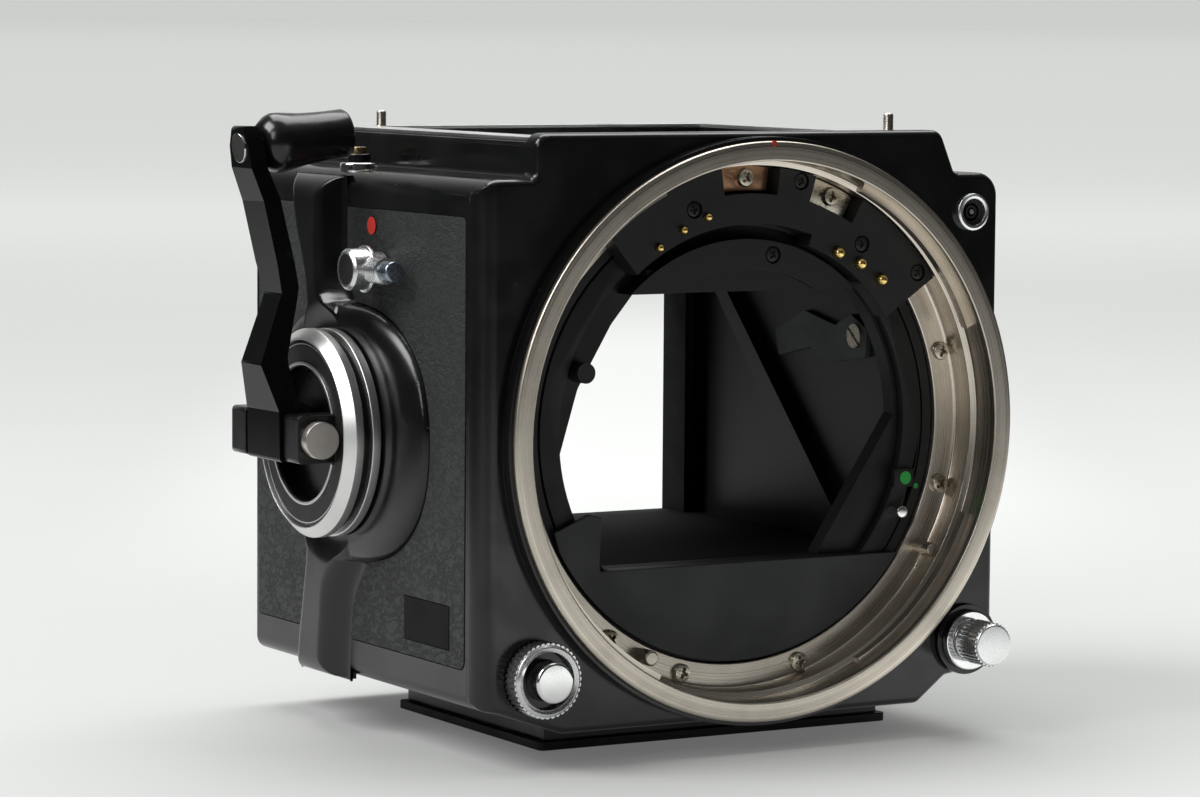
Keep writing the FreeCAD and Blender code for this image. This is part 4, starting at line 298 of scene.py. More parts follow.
class Effects:
    """Shader node groups that several finishes share, each built when first asked for."""

    @staticmethod
    def start(name: str, values: Mapping[str, float],
              outputs: Sequence[str]) -> tuple[NodeTree, Sockets, Node]:
        """Starts an effect, which reads a place and plain values and gives plain values."""
        return NodeTree.group(name, "ShaderNodeTree", {"Place": "Vector", **values}, outputs,
                              "Float")

    @staticmethod
    @cache
    def dust() -> bpy.types.NodeTree:
        """Group with fine light specks and a broad soft film of dust."""
        nodes, given, sink = Effects.start("dust", {"Speck Scale": 900.0, "Amount": 0.5},
                                           ["Specks", "Film"])
        cells = nodes.add("ShaderNodeTexVoronoi", {"Vector": given["Place"],
                                                   "Scale": given["Speck Scale"]},
                          feature="F1").outputs
        near = nodes.ramp(cells["Distance"], 0.06, 0.16, 1.0, 0.0)
        pick = nodes.add("ShaderNodeSeparateColor", {"Color": cells["Color"]}).outputs["Red"]
        specks = nodes.times(near, nodes.ramp(pick, 0.93, 0.96))
        film = nodes.ramp(nodes.noise(given["Place"], 90.0, 4.0), 0.35, 0.75)
        nodes.feed(sink, {"Specks": nodes.times(specks, given["Amount"]),
                          "Film": nodes.times(film, given["Amount"])})
        return nodes.tree

    @staticmethod
    @cache
    def grain() -> bpy.types.NodeTree:
        """Group with a fine paint or moulding grain as height, and a slow tone."""
        nodes, given, sink = Effects.start("grain", {"Grain Scale": 4000.0}, ["Height", "Tone"])
        nodes.feed(sink, {"Height": nodes.noise(given["Place"], given["Grain Scale"], 2.0, 0.5),
                          "Tone": nodes.noise(given["Place"], 130.0, 2.0)})
        return nodes.tree

    @staticmethod
    @cache
    def leather() -> bpy.types.NodeTree:
        """Group with leather wrinkles: height of the pebbles and a crease mask."""
        nodes, given, sink = Effects.start("leather", {"Pebble Scale": 1500.0,
                                                       "Crease Scale": 900.0},
                                           ["Height", "Crease"])
        wobble = nodes.noise(given["Place"], 420.0, 2.0, 0.5).node.outputs["Color"]
        shift = nodes.add("ShaderNodeVectorMath", {0: wobble, "Scale": 0.0016}, operation="SCALE")
        moved = nodes.add("ShaderNodeVectorMath", {0: given["Place"], 1: shift.outputs[0]},
                          operation="ADD").outputs[0]
        stretch = nodes.add("ShaderNodeMapping", {"Vector": moved, "Scale": (1.0, 0.4, 1.0)})
        wave = nodes.noise(stretch.outputs[0], given["Crease Scale"], 3.0, 0.6)
        groove = nodes.ramp(nodes.size(nodes.minus(wave, 0.5)), 0.0, 0.09)
        fade = nodes.ramp(nodes.noise(given["Place"], 160.0, 2.0), 0.25, 0.7, 0.45, 1.0)
        depth = nodes.minus(1.0, nodes.times(nodes.minus(1.0, groove), fade))
        pebbles = nodes.add("ShaderNodeTexVoronoi", {"Vector": moved,
                                                     "Scale": given["Pebble Scale"]},
                            feature="SMOOTH_F1").outputs["Distance"]
        grit = nodes.noise(given["Place"], 3400.0, 3.0)
        height = nodes.plus(nodes.times(depth, 0.5), nodes.times(nodes.minus(1.0, pebbles), 0.2))
        nodes.feed(sink, {"Height": nodes.plus(height, nodes.times(grit, 0.3)),
                          "Crease": nodes.minus(1.0, depth)})
        return nodes.tree

    @staticmethod
    @cache
    def turning() -> bpy.types.NodeTree:
        """Group with the fine rings that a lathe leaves, about the local Z axis."""
        nodes, given, sink = Effects.start("turning", {"Ring Scale": 6000.0}, ["Rings", "Blotch"])
        parts = nodes.split(given["Place"])
        square = nodes.plus(nodes.times(parts["X"], parts["X"]),
                            nodes.times(parts["Y"], parts["Y"]))
        line = nodes.add("ShaderNodeCombineXYZ", {"X": nodes.math("SQRT", square),
                                                  "Y": parts["Z"]})
        rings = nodes.noise(line.outputs[0], given["Ring Scale"], 3.0, 0.5, noise_dimensions="2D")
        nodes.feed(sink, {"Rings": rings, "Blotch": nodes.noise(given["Place"], 160.0, 3.0)})
        return nodes.tree


class Finish:
    """Base of all finishes: makes its material once and keeps it."""

    made: dict[str, bpy.types.Material] = {}
    name: str = "finish"

    def material(self) -> bpy.types.Material:
        """The finish's material, built when it is first asked for."""
        if self.name not in Finish.made:
            material = bpy.data.materials.new(self.name)
            material.use_nodes = True
            nodes = NodeTree(material.node_tree)
            where = nodes.add("ShaderNodeTexCoord").outputs["Object"]
            self.build(nodes, material.node_tree.nodes["Principled BSDF"], where)
            Finish.made[self.name] = material
        return Finish.made[self.name]

    def build(self, nodes: NodeTree, shader: Node, where: Socket) -> None:
        """Adds the finish's own nodes; each finish has its own.

        Args:
            nodes: Tree of the material.
            shader: Its Principled BSDF.
            where: Object coordinates.
        """

    @staticmethod
    def bump(nodes: NodeTree, shader: Node, height: Socket, strength: float,
             depth: float) -> None:
        """Feeds a height into the shader's normal.

        Args:
            nodes: Tree of the material.
            shader: Its Principled BSDF.
            height: Height from 0 to 1.
            strength: Strength of the bump.
            depth: Height of 1, in millimetres.
        """
        node = nodes.add("ShaderNodeBump", {"Strength": strength, "Distance": depth * MM,
                                            "Height": height})
        nodes.feed(shader, {"Normal": node.outputs["Normal"]})


@dataclass(frozen=True)
class Enamel(Finish):
    """Paint over metal or moulding, from gloss to matt, with dust on it."""

    name: str = "enamel"
    color: Color = (0.0055, 0.0055, 0.006)
    light: Color = (0.02, 0.021, 0.021)
    roughness: float = 0.16
    spread: float = 0.1
    grain_scale: float = 2200.0
    grain_depth: float = 0.004
    dust: float = 0.5
    gloss: float = 0.5

    def build(self, nodes: NodeTree, shader: Node, where: Socket) -> None:
        """Adds tone, gloss variation, ripple and dust."""
        dust = nodes.effect(Effects.dust(), where, Amount=self.dust)
        grain = nodes.effect(Effects.grain(), where, Grain_Scale=self.grain_scale)
        mask = nodes.plus(nodes.times(dust["Film"], 0.12), dust["Specks"], clamp=True)
        rough = nodes.ramp(grain["Tone"], 0.35, 0.65, self.roughness,
                           self.roughness + self.spread)
        nodes.feed(shader, {"Base Color": nodes.blend(mask, self.color, self.light),
                            "Roughness": nodes.plus(rough, nodes.times(dust["Specks"], 0.4)),
                            "Specular IOR Level": self.gloss})
        self.bump(nodes, shader, grain["Height"], 0.5, self.grain_depth)


@dataclass(frozen=True)
class ChamberPaint(Enamel):
    """Satin black of the mirror chamber, duller and darker where it faces up."""

    floor: Color = (0.0016, 0.0016, 0.0018)
    floor_roughness: float = 0.85
    floor_gloss: float = 0.15

    def build(self, nodes: NodeTree, shader: Node, where: Socket) -> None:
        """Adds the enamel's nodes, then lets the direction of a face choose its tone."""
        super().build(nodes, shader, where)
        normal = nodes.add("ShaderNodeTexCoord").outputs["Normal"]
        up = nodes.ramp(nodes.split(normal)["Z"], 0.3, 0.7)
        nodes.feed(shader, {
            "Base Color": nodes.blend(up, self.color, self.floor),
            "Roughness": nodes.ramp(up, 0.0, 1.0, self.roughness, self.floor_roughness),
            "Specular IOR Level": nodes.ramp(up, 0.0, 1.0, self.gloss, self.floor_gloss)})


@dataclass(frozen=True)
class Leather(Finish):
    """Grey-black leather covering with pebbles and creases."""

    name: str = "leatherette"
    color: Color = (0.0078, 0.0088, 0.0088)
    pebble_top_tone: Color = (0.023, 0.0255, 0.0255)
    crease_shade: Color = (0.004, 0.0045, 0.0045)
    speck: Color = (0.12, 0.12, 0.12)

    def build(self, nodes: NodeTree, shader: Node, where: Socket) -> None:
        """Adds wrinkles, paler tops, painted shade in the creases and specks of dust."""
        hide = nodes.effect(Effects.leather(), where)
        dust = nodes.effect(Effects.dust(), where, Amount=0.8, Speck_Scale=1300.0)
        # The colour goes paler towards the tops of the pebbles.
        base = nodes.blend(nodes.ramp(hide["Height"], 0.55, 0.9), self.color, self.pebble_top_tone)
        # Painted shade: the creases are darkened with a shade colour.
        crease_shaded = nodes.blend(nodes.times(hide["Crease"], 0.3), base, self.crease_shade)
        nodes.feed(shader, {"Base Color": nodes.blend(dust["Specks"], crease_shaded, self.speck),
                            "Roughness": nodes.ramp(hide["Height"], 0.4, 0.9, 0.66, 0.46)})
        self.bump(nodes, shader, hide["Height"], 1.0, 0.17)


@dataclass(frozen=True)
class TurnedMetal(Finish):
    """Metal with the fine rings of a lathe about an axis."""

    name: str = "turned metal"
    color: Color = (0.72, 0.68, 0.62)
    dull: Color = (0.55, 0.5, 0.44)
    roughness: float = 0.26
    spread: float = 0.12
    ring_scale: float = 5200.0
    ring_depth: float = 0.003
    axis: Axis = Axis.Y
    centre: Point3 = (0.0, 0.0, 0.0)

    def build(self, nodes: NodeTree, shader: Node, where: Socket) -> None:
        """Adds rings, stains and the metal's own tone."""
        turn = {Axis.X: (0.0, math.pi / 2, 0.0), Axis.Y: (math.pi / 2, 0.0, 0.0),
                Axis.Z: (0.0, 0.0, 0.0)}[self.axis]
        mapping = nodes.add("ShaderNodeMapping", {"Location": Vector(self.centre) * MM,
                                                  "Rotation": turn, "Vector": where},
                            vector_type="TEXTURE")
        lathe = nodes.effect(Effects.turning(), mapping.outputs[0], Ring_Scale=self.ring_scale)
        tone = nodes.plus(nodes.times(nodes.ramp(lathe["Blotch"], 0.4, 0.75), 0.6),
                          nodes.times(nodes.ramp(lathe["Rings"], 0.4, 0.7), 0.25), clamp=True)
        nodes.feed(shader, {"Base Color": nodes.blend(tone, self.color, self.dull),
                            "Roughness": nodes.ramp(lathe["Rings"], 0.3, 0.7, self.roughness,
                                                    self.roughness + self.spread),
                            "Metallic": 1.0})
        self.bump(nodes, shader, lathe["Rings"], 0.6, self.ring_depth)


@dataclass(frozen=True)
class Metal(Finish):
    """Plain metal: polished, brushed, gilt or blackened."""

    name: str = "metal"
    color: Color = (0.62, 0.61, 0.59)
    dull: Color = (0.42, 0.4, 0.37)
    roughness: float = 0.25
    spread: float = 0.15
    grain_scale: float = 5200.0
    grain_depth: float = 0.002

    def build(self, nodes: NodeTree, shader: Node, where: Socket) -> None:
        """Adds grain, tarnish and gloss variation."""
        grain = nodes.effect(Effects.grain(), where, Grain_Scale=self.grain_scale)
        stain = nodes.ramp(grain["Tone"], 0.42, 0.7)
        nodes.feed(shader, {"Base Color": nodes.blend(stain, self.color, self.dull),
                            "Roughness": nodes.ramp(grain["Height"], 0.3, 0.7, self.roughness,
                                                    self.roughness + self.spread),
                            "Metallic": 1.0})
        self.bump(nodes, shader, grain["Height"], 0.4, self.grain_depth)


@dataclass(frozen=True)
class GroundGlass(Finish):
    """Fine ground screen."""

    name: str = "ground glass"
    color: Color = (0.82, 0.85, 0.84)
    dull: Color = (0.74, 0.77, 0.76)

    def build(self, nodes: NodeTree, shader: Node, where: Socket) -> None:
        """Adds a fine matt grain to clear glass."""
        grain = nodes.effect(Effects.grain(), where, Grain_Scale=9000.0)
        nodes.feed(shader, {"Base Color": nodes.blend(grain["Tone"], self.color, self.dull),
                            "Roughness": nodes.ramp(grain["Tone"], 0.3, 0.7, 0.42, 0.55),
                            "Transmission Weight": 0.5})
        self.bump(nodes, shader, grain["Height"], 0.4, 0.004)


GLOSS_BLACK = Enamel("gloss black enamel", (0.0042, 0.0044, 0.0044), (0.016, 0.017, 0.017))
MATT_BLACK = Enamel("matt black paint", (0.0058, 0.006, 0.0064), roughness=0.55, spread=0.12,
                    grain_scale=5200.0, grain_depth=0.012, dust=0.35, gloss=0.4)
DEEP_BLACK = Enamel("chamber black", (0.003, 0.0031, 0.0034), (0.012, 0.012, 0.012),
                    roughness=0.8, spread=0.12, grain_scale=5200.0, grain_depth=0.01, dust=0.25,
                    gloss=0.25)
BLOCK_BLACK = Enamel("moulded black", (0.0078, 0.0084, 0.0086), (0.024, 0.025, 0.025),
                     roughness=0.46, spread=0.12, grain_scale=3600.0, grain_depth=0.006,
                     gloss=0.4)
CHAMBER = ChamberPaint("satin chamber black", (0.0085, 0.0092, 0.0098), roughness=0.4, dust=0.3)
BAFFLE_BLACK = Enamel("satin baffle black", (0.019, 0.0205, 0.0215), (0.03, 0.031, 0.031),
                      roughness=0.5, grain_scale=5200.0, grain_depth=0.01, dust=0.3)
ARM_BLACK = Enamel("crank enamel", (0.0036, 0.0038, 0.0038), (0.014, 0.015, 0.015),
                   roughness=0.1, spread=0.06, gloss=0.14)
SLATE = Enamel("slate grey paint", (0.05, 0.056, 0.062), (0.07, 0.07, 0.07), roughness=0.5,
               grain_depth=0.001, dust=0.2)
GLOSS_PLASTIC = Enamel("glossy moulded black", (0.005, 0.005, 0.0055), roughness=0.2,
                       grain_scale=1800.0)
PEBBLED_PLASTIC = Enamel("pebbled black", (0.006, 0.006, 0.006), roughness=0.42,
                         grain_scale=1300.0, grain_depth=0.06, dust=0.7)
DARK_SCREW = Enamel("blackened screw", (0.008, 0.0082, 0.0088), roughness=0.36,
                    grain_scale=5200.0, dust=0.2)
FOAM = Enamel("black foam", (0.008, 0.008, 0.008), roughness=0.85, grain_scale=3000.0,
              grain_depth=0.1, dust=0.2)
LAMINATE = Enamel("green laminate", (0.01, 0.07, 0.03), (0.02, 0.11, 0.05), roughness=0.4)
LEATHERETTE = Leather()
RING_CHROME = TurnedMetal("satin mount chrome", (0.6, 0.545, 0.475), (0.46, 0.41, 0.35),
                          ring_depth=0.0014, centre=(0.0, 0.0, LENS_HEIGHT))
DIAL_CHROME = TurnedMetal("dial chrome", (0.8, 0.8, 0.79), (0.7, 0.7, 0.69), roughness=0.34,
                          spread=0.06, ring_depth=0.0012, axis=Axis.X,
                          centre=(0.0, *DIAL_CENTRE))
PIN_CHROME = TurnedMetal("turned pin head", (0.62, 0.58, 0.54), (0.45, 0.4, 0.37),
                         roughness=0.3, ring_scale=9000.0, ring_depth=0.004,
                         centre=(-50.0, 0.0, 39.2))
KNOB_CHROME = Metal("satin chrome", (0.76, 0.77, 0.77), (0.66, 0.66, 0.66), 0.26, 0.05,
                    grain_depth=0.0004)
POLISHED = Metal("polished chrome", (0.8, 0.8, 0.8), (0.66, 0.66, 0.66), 0.08, 0.08)
STEEL = Metal("bright steel", (0.58, 0.53, 0.45), (0.38, 0.33, 0.27), 0.24)
BLUED = Metal("blued steel", (0.3, 0.34, 0.4), (0.2, 0.23, 0.28), 0.22)
OLD_BRASS = Metal("dark brass", (0.42, 0.33, 0.17), (0.26, 0.2, 0.1), 0.24)
COPPER = Metal("coppered bracket", (0.5, 0.29, 0.18), (0.36, 0.2, 0.12), 0.3)
GILT = Metal("gilt contact", (0.85, 0.62, 0.22), (0.7, 0.48, 0.16), 0.16)
BLACKENED = Metal("blackened steel", (0.09, 0.09, 0.095), (0.05, 0.05, 0.05), 0.35)
BARE_ALLOY = Metal("bare alloy", (0.55, 0.55, 0.55), (0.42, 0.42, 0.42), 0.32)
SILVERED = Metal("silvered mirror", (0.88, 0.89, 0.9), (0.84, 0.85, 0.86), 0.02, 0.01,
                 grain_depth=0.0002)
RED_PAINT = Enamel("red paint", (0.55, 0.03, 0.02), (0.6, 0.12, 0.08), 0.4, dust=0.2)
GREEN_PAINT = Enamel("green paint", (0.02, 0.42, 0.06), (0.08, 0.5, 0.1), 0.4, dust=0.2)
WHITE_PAINT = Enamel("white filling", (0.62, 0.62, 0.6), (0.7, 0.7, 0.68), 0.5, dust=0.2)
SCREEN = GroundGlass()


# ---------------------------------------------------------------- mesh parts


class Piece:
    """Turns meshes into finished pieces that ride on a body of the frame."""

    frame: dict = {}

    @staticmethod
    def slot_of(node: str) -> str:
        """Material slot that the record gives a node."""
        for part in Piece.frame["record"]["subparts"]:
            if part["node"] == node:
                return part["material_slot"]
        return "black_paint"

    @staticmethod
    def body_of(node: str) -> str:
        """Body that a CAD node rides on."""
        for body, members in Piece.frame["record"]["behaviour"]["bodies"].items():
            if node in members:
                return body
        return "camera_body"

    @staticmethod
    def finish(name: str, mesh: Mesh, finish: Finish, node: str, stands_for: bool = False,
               sharp: float = SHARP_ANGLE, slot: Optional[str] = None,
               weigh: bool = False) -> None:
        """Makes a mesh into a piece with its finish and body.

        Args:
            name: Name of the piece.
            mesh: Mesh in metres, in the row frame; it is freed here.
            finish: Its finish.
            node: CAD node whose body and slot it takes.
            stands_for: Let it replace that node.
            sharp: Angle in degrees above which edges stay sharp.
            slot: Material slot, where it isn't the node's; not used.
            weigh: Let large flat faces rule the normals of their corners.
        """
        data = bpy.data.meshes.new(name)
        mesh.to_mesh(data)
        mesh.free()
        data.materials.clear()
        data.materials.append(finish.material())
        data.shade_smooth()
        data.set_sharp_from_angle(angle=math.radians(sharp))
        obj = bpy.data.objects.new(name, data)
        bpy.context.scene.collection.objects.link(obj)
        if weigh:
            weights = obj.modifiers.new("flat faces", "WEIGHTED_NORMAL")
            weights.keep_sharp = True
            obj.data = Forms.evaluated(obj)
            obj.modifiers.clear()
            bpy.data.meshes.remove(data)
        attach(obj, Piece.body_of(node))
        if stands_for:
            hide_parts(node)
        slot or Piece.slot_of(node)

    @staticmethod
    def merged(node: str) -> Mesh:
        """Merged copy of a CAD node's mesh, with its flat faces joined up."""
        mesh = bmesh.new()
        mesh.from_mesh(Piece.frame["nodes"][node].data)
        bmesh.ops.remove_doubles(mesh, verts=mesh.verts[:], dist=WELD)
        bmesh.ops.dissolve_limit(mesh, angle_limit=math.radians(FLAT_ANGLE),
                                 verts=mesh.verts[:], edges=mesh.edges[:])
        return mesh

    @staticmethod
    def soften(mesh: Mesh, width: float) -> None:
        """Rounds the sharp edges of a mesh by a width in millimetres."""
        edges = [edge for edge in mesh.edges if len(edge.link_faces) == 2
                 and edge.calc_face_angle(0.0) > math.radians(BEVEL_ANGLE)]
        bmesh.ops.bevel(mesh, geom=edges, offset=width * MM, offset_type="OFFSET", segments=2,
                        profile=0.5, affect="EDGES", clamp_overlap=True)

    @classmethod
    def dress(cls, node: str, finish: Finish, bevel: float = 0.0, sharp: float = SHARP_ANGLE,
              slot: Optional[str] = None) -> None:
        """Dresses a CAD node: a merged copy with softened edges stands for it.

        Args:
            node: CAD node.
            finish: Its finish.
            bevel: Size of the rounding of its edges, in millimetres.
            sharp: Angle in degrees above which edges stay sharp.
            slot: Material slot, where it isn't the node's; not used.
        """
        mesh = cls.merged(node)
        if bevel:
            cls.soften(mesh, bevel)
        cls.finish(node + "_dressed", mesh, finish, node, True, sharp, slot, True)

    @classmethod
    def dress_all(cls, *rows: tuple) -> None:
        """Dresses several CAD nodes in order; each row holds the arguments of dress."""
        for row in rows:
            cls.dress(*row)


class Forms:
    """Mesh builders that return a bmesh in metres."""

    @staticmethod
    def evaluated(obj: bpy.types.Object) -> bpy.types.Mesh:
        """Plain mesh of an object with its modifiers applied."""
        graph = bpy.context.evaluated_depsgraph_get()
        return bpy.data.meshes.new_from_object(obj.evaluated_get(graph), depsgraph=graph)

    @staticmethod
    def lathe(profile: Sequence[Point2], axis: Axis, centre: Point2, steps: int = 128) -> Mesh:
        """Closed ring or solid turned from a closed outline.

        Args:
            profile: Points (radius, position along the axis), in order round the outline.
            axis: Axis that it turns about.
            centre: The axis's place across it.
            steps: Number of steps round it.

        Returns:
            The mesh, with normals that point outwards.
        """
        mesh = bmesh.new()
        rows = []
        around = circle(steps)
        for radius, along in profile:
            spots = around if radius >= TINY else [(0.0, 0.0)]
            rows.append([mesh.verts.new(place(axis, along, centre[0] + radius * cosine,
                                              centre[1] + radius * sine))
                         for cosine, sine in spots])
        for first, second in zip(rows, rows[1:] + rows[:1]):
            if len(first) == 1 and len(second) == 1:
                continue
            for step in range(steps):
                after = (step + 1) % steps
                if len(first) == 1:
                    mesh.faces.new((first[0], second[step], second[after]))
                elif len(second) == 1:
                    mesh.faces.new((first[step], second[0], first[after]))
                else:
                    mesh.faces.new((first[step], second[step], second[after], first[after]))
        bmesh.ops.recalc_face_normals(mesh, faces=mesh.faces[:])
        return mesh

    @staticmethod
    def rounded(profile: Sequence[Point3], steps: int = 5) -> list[Point2]:
        """Outline whose corners are rounded.

        Args:
            profile: Corners (u, v, radius) of a closed outline.
            steps: Points on each rounded corner.

        Returns:
            The outline's points.
        """
        points: list[Point2] = []
        count = len(profile)
        for index, (u, v, radius) in enumerate(profile):
            here = Vector((u, v))
            before = Vector(profile[index - 1][:2]) - here
            after = Vector(profile[(index + 1) % count][:2]) - here
            if radius <= 0 or before.length < TINY or after.length < TINY:
                points.append((u, v))
                continue
            half = before.angle(after) / 2
            reach = min(radius / math.tan(half), before.length * 0.49, after.length * 0.49)
            first = here + before.normalized() * reach
            last = here + after.normalized() * reach
            for step in range(steps + 1):
                t = step / steps
                spot = first * (1 - t) ** 2 + here * 2 * t * (1 - t) + last * t ** 2
                points.append((spot.x, spot.y))
        return points

    @staticmethod
    def turned(corners: Sequence[Point3], axis: Axis, centre: Point2, steps: int,
               corner_steps: int = 5) -> Mesh:
        """Lathe form with rounded corners.

        Args:
            corners: Corners (radius, position along the axis, rounding) of the outline.
            axis: Axis that it turns about.
            centre: The axis's place across it.
            steps: Number of steps round it.
            corner_steps: Points on each rounded corner.

        Returns:
            The mesh.
        """
        return Forms.lathe(Forms.rounded(corners, corner_steps), axis, centre, steps)

    @staticmethod
    def peg(radius: float, start: float, end: float, rounding: float, axis: Axis,
            centre: Point2, steps: int = 32) -> Mesh:
        """Round solid from a rounded start to a plain end; without rounding, a flat dot."""
        return Forms.turned([(0.0, start, 0.0), (radius, start, rounding), (radius, end, 0.0),
                             (0.0, end, 0.0)], axis, centre, steps)

    @staticmethod
    def prism(outline: Sequence[Point2], axis: Axis, start: float, end: float) -> Mesh:
        """Solid between two planes from a flat outline.

        Args:
            outline: Points across the axis.
            axis: Axis that it runs along.
            start: First plane.
            end: Second plane.

        Returns:
            The mesh.
        """
        mesh = bmesh.new()
        low, high = ([mesh.verts.new(place(axis, plane, *point)) for point in outline]
                     for plane in (start, end))
        mesh.faces.new(low)
        mesh.faces.new(high[::-1])
        for index in range(len(outline)):
            after = (index + 1) % len(outline)
            mesh.faces.new((low[after], low[index], high[index], high[after]))
        bmesh.ops.recalc_face_normals(mesh, faces=mesh.faces[:])
        return mesh

    @staticmethod
    def ring_part(inner: float, outer: float, first: float, last: float, start: float,
                  end: float, steps: int = 24) -> Mesh:
        """Part of a ring about the lens axis, between two angles.

        Args:
            inner: Inner radius.
            outer: Outer radius.
            first: First angle in degrees.
            last: Last angle in degrees.
            start: Front plane.
            end: Rear plane.
            steps: Steps along it.

        Returns:
            The mesh.
        """
        outline = [on_circle(radius, begin + (stop - begin) * step / steps)
                   for radius, begin, stop in ((outer, first, last), (inner, last, first))
                   for step in range(steps + 1)]
        return Forms.prism(outline, Axis.Y, start, end)

    @staticmethod
    def joined(meshes: Iterable[Mesh]) -> Mesh:
        """One mesh from several, which are freed."""
        whole = bmesh.new()
        for mesh in meshes:
            data = bpy.data.meshes.new("part")
            mesh.to_mesh(data)
            mesh.free()
            whole.from_mesh(data)
            bpy.data.meshes.remove(data)
        return whole


class Repeats:
    """Geometry Nodes trees for teeth round a rim and for screws at points."""

    @staticmethod
    def tree(name: str, **inputs: str) -> tuple[NodeTree, Sockets, Node]:
        """Starts a Geometry Nodes tree.

        Args:
            name: Name of the tree.
            inputs: Socket type of each input, with _ for a space in its name.

        Returns:
            The tree, the sockets of its inputs and its output node.
        """
        named = {key.replace("_", " "): kind for key, kind in inputs.items()}
        return NodeTree.group(name, "GeometryNodeTree",
                              {"Geometry": "Geometry", **named, "Finish": "Material"},
                              ["Geometry"], "Geometry")

    @staticmethod
    def spread(nodes: NodeTree, given: Sockets, sink: Node, places: Mapping[str, Socket]) -> None:
        """Puts copies at points, makes them real and paints them, which ends a tree.

        Args:
            nodes: The tree.
            given: Sockets of its inputs.
            sink: Its output node.
            places: Inputs of the node that puts the copies.
        """
        copies = nodes.add("GeometryNodeInstanceOnPoints", places)
        real = nodes.add("GeometryNodeRealizeInstances", {0: copies.outputs[0]})
        paint = nodes.add("GeometryNodeSetMaterial", {"Geometry": real.outputs[0],
                                                      "Material": given["Finish"]})
        nodes.feed(sink, {0: paint.outputs[0]})

    @staticmethod
    def bake(tree: bpy.types.NodeTree, values: Mapping[str, object],
             base: Optional[bpy.types.Mesh] = None) -> Mesh:
        """Runs a tree with its inputs set and returns the plain mesh.

        Args:
            tree: Geometry Nodes tree.
            values: Value of each named input.
            base: Mesh that the modifier starts from.

        Returns:
            The mesh.
        """
        carrier = bpy.data.objects.new("seed", base or bpy.data.meshes.new("seed"))
        bpy.context.scene.collection.objects.link(carrier)
        modifier = carrier.modifiers.new("repeat", "NODES")
        modifier.node_group = tree
        for item in tree.interface.items_tree:
            if item.item_type == "SOCKET" and item.in_out == "INPUT" and item.name in values:
                modifier[item.identifier] = values[item.name]
        made = Forms.evaluated(carrier)
        mesh = bmesh.new()
        mesh.from_mesh(made)
        carrier.modifiers.remove(modifier)
        bpy.data.objects.remove(carrier)
        bpy.data.meshes.remove(made)
        return mesh

    @classmethod
    def teeth(cls, count: int, radius: float, tooth: float, length: float, axis: Axis,
              centre: Point2, start: float, finish: Finish) -> Mesh:
        """Round teeth that stand round a rim, parallel to its axis.

        Args:
            count: Number of teeth.
            radius: Radius of the ring that they stand on.
            tooth: Radius of one tooth.
            length: Length of one tooth.
            axis: Axis of the rim.
            centre: Its place across the axis.
            start: Lower end of the teeth along the axis.
            finish: Finish of the teeth.

        Returns:
            The mesh of all teeth.
        """
        nodes, given, sink = cls.tree("teeth", Count="Int", Ring_Radius="Float",
                                      Tooth_Radius="Float", Length="Float")
        ring = nodes.add("GeometryNodeMeshCircle", {"Vertices": given["Count"],
                                                    "Radius": given["Ring Radius"]})
        model = nodes.add("GeometryNodeMeshCylinder", {"Vertices": 10, "Depth": given["Length"],
                                                       "Radius": given["Tooth Radius"]})
        cls.spread(nodes, given, sink, {"Points": ring.outputs["Mesh"],
                                        "Instance": model.outputs["Mesh"]})
        mesh = cls.bake(nodes.tree, {"Count": count, "Ring Radius": radius * MM,
                                     "Tooth Radius": tooth * MM, "Length": length * MM,
                                     "Finish": finish.material()})
        turn = {Axis.X: Matrix.Rotation(math.pi / 2, 4, "Y"),
                Axis.Y: Matrix.Rotation(math.pi / 2, 4, "X"), Axis.Z: Matrix.Identity(4)}[axis]
        middle = place(axis, start + length / 2, *centre)
        bmesh.ops.transform(mesh, matrix=Matrix.Translation(middle) @ turn, verts=mesh.verts[:])
        return mesh

    @classmethod
    def at_points(cls, spots: Sequence[Point3], turns: Sequence[float], template: Mesh,
                  finish: Finish) -> Mesh:
        """Copies of a template at points, each turned about Y.

        Args:
            spots: Places in millimetres.
            turns: Turn of each copy in degrees.
            template: Mesh about the origin, head towards -Y; it is freed here.
            finish: Finish of the copies.

        Returns:
            The mesh of all copies.
        """
        nodes, given, sink = cls.tree("at_points", Template="Object")
        info = nodes.add("GeometryNodeObjectInfo", {"Object": given["Template"]})
        angle = nodes.add("GeometryNodeInputNamedAttribute", {"Name": "turn"}, data_type="FLOAT")
        vector = nodes.add("ShaderNodeCombineXYZ", {"Y": angle.outputs["Attribute"]})
        rotation = nodes.add("FunctionNodeEulerToRotation", {0: vector.outputs[0]})
        cls.spread(nodes, given, sink, {"Points": given["Geometry"],
                                        "Instance": info.outputs["Geometry"],
                                        "Rotation": rotation.outputs[0]})
        data = bpy.data.meshes.new("template")
        template.to_mesh(data)
        template.free()
        model = bpy.data.objects.new("template", data)
        bpy.context.scene.collection.objects.link(model)
        points = bpy.data.meshes.new("points")
        points.from_pydata([Vector(spot) * MM for spot in spots], [], [])
        attribute = points.attributes.new("turn", "FLOAT", "POINT")
        for index, turn in enumerate(turns):
            attribute.data[index].value = math.radians(turn)
        mesh = cls.bake(nodes.tree, {"Template": model, "Finish": finish.material()}, points)
        bpy.data.objects.remove(model)
        return mesh


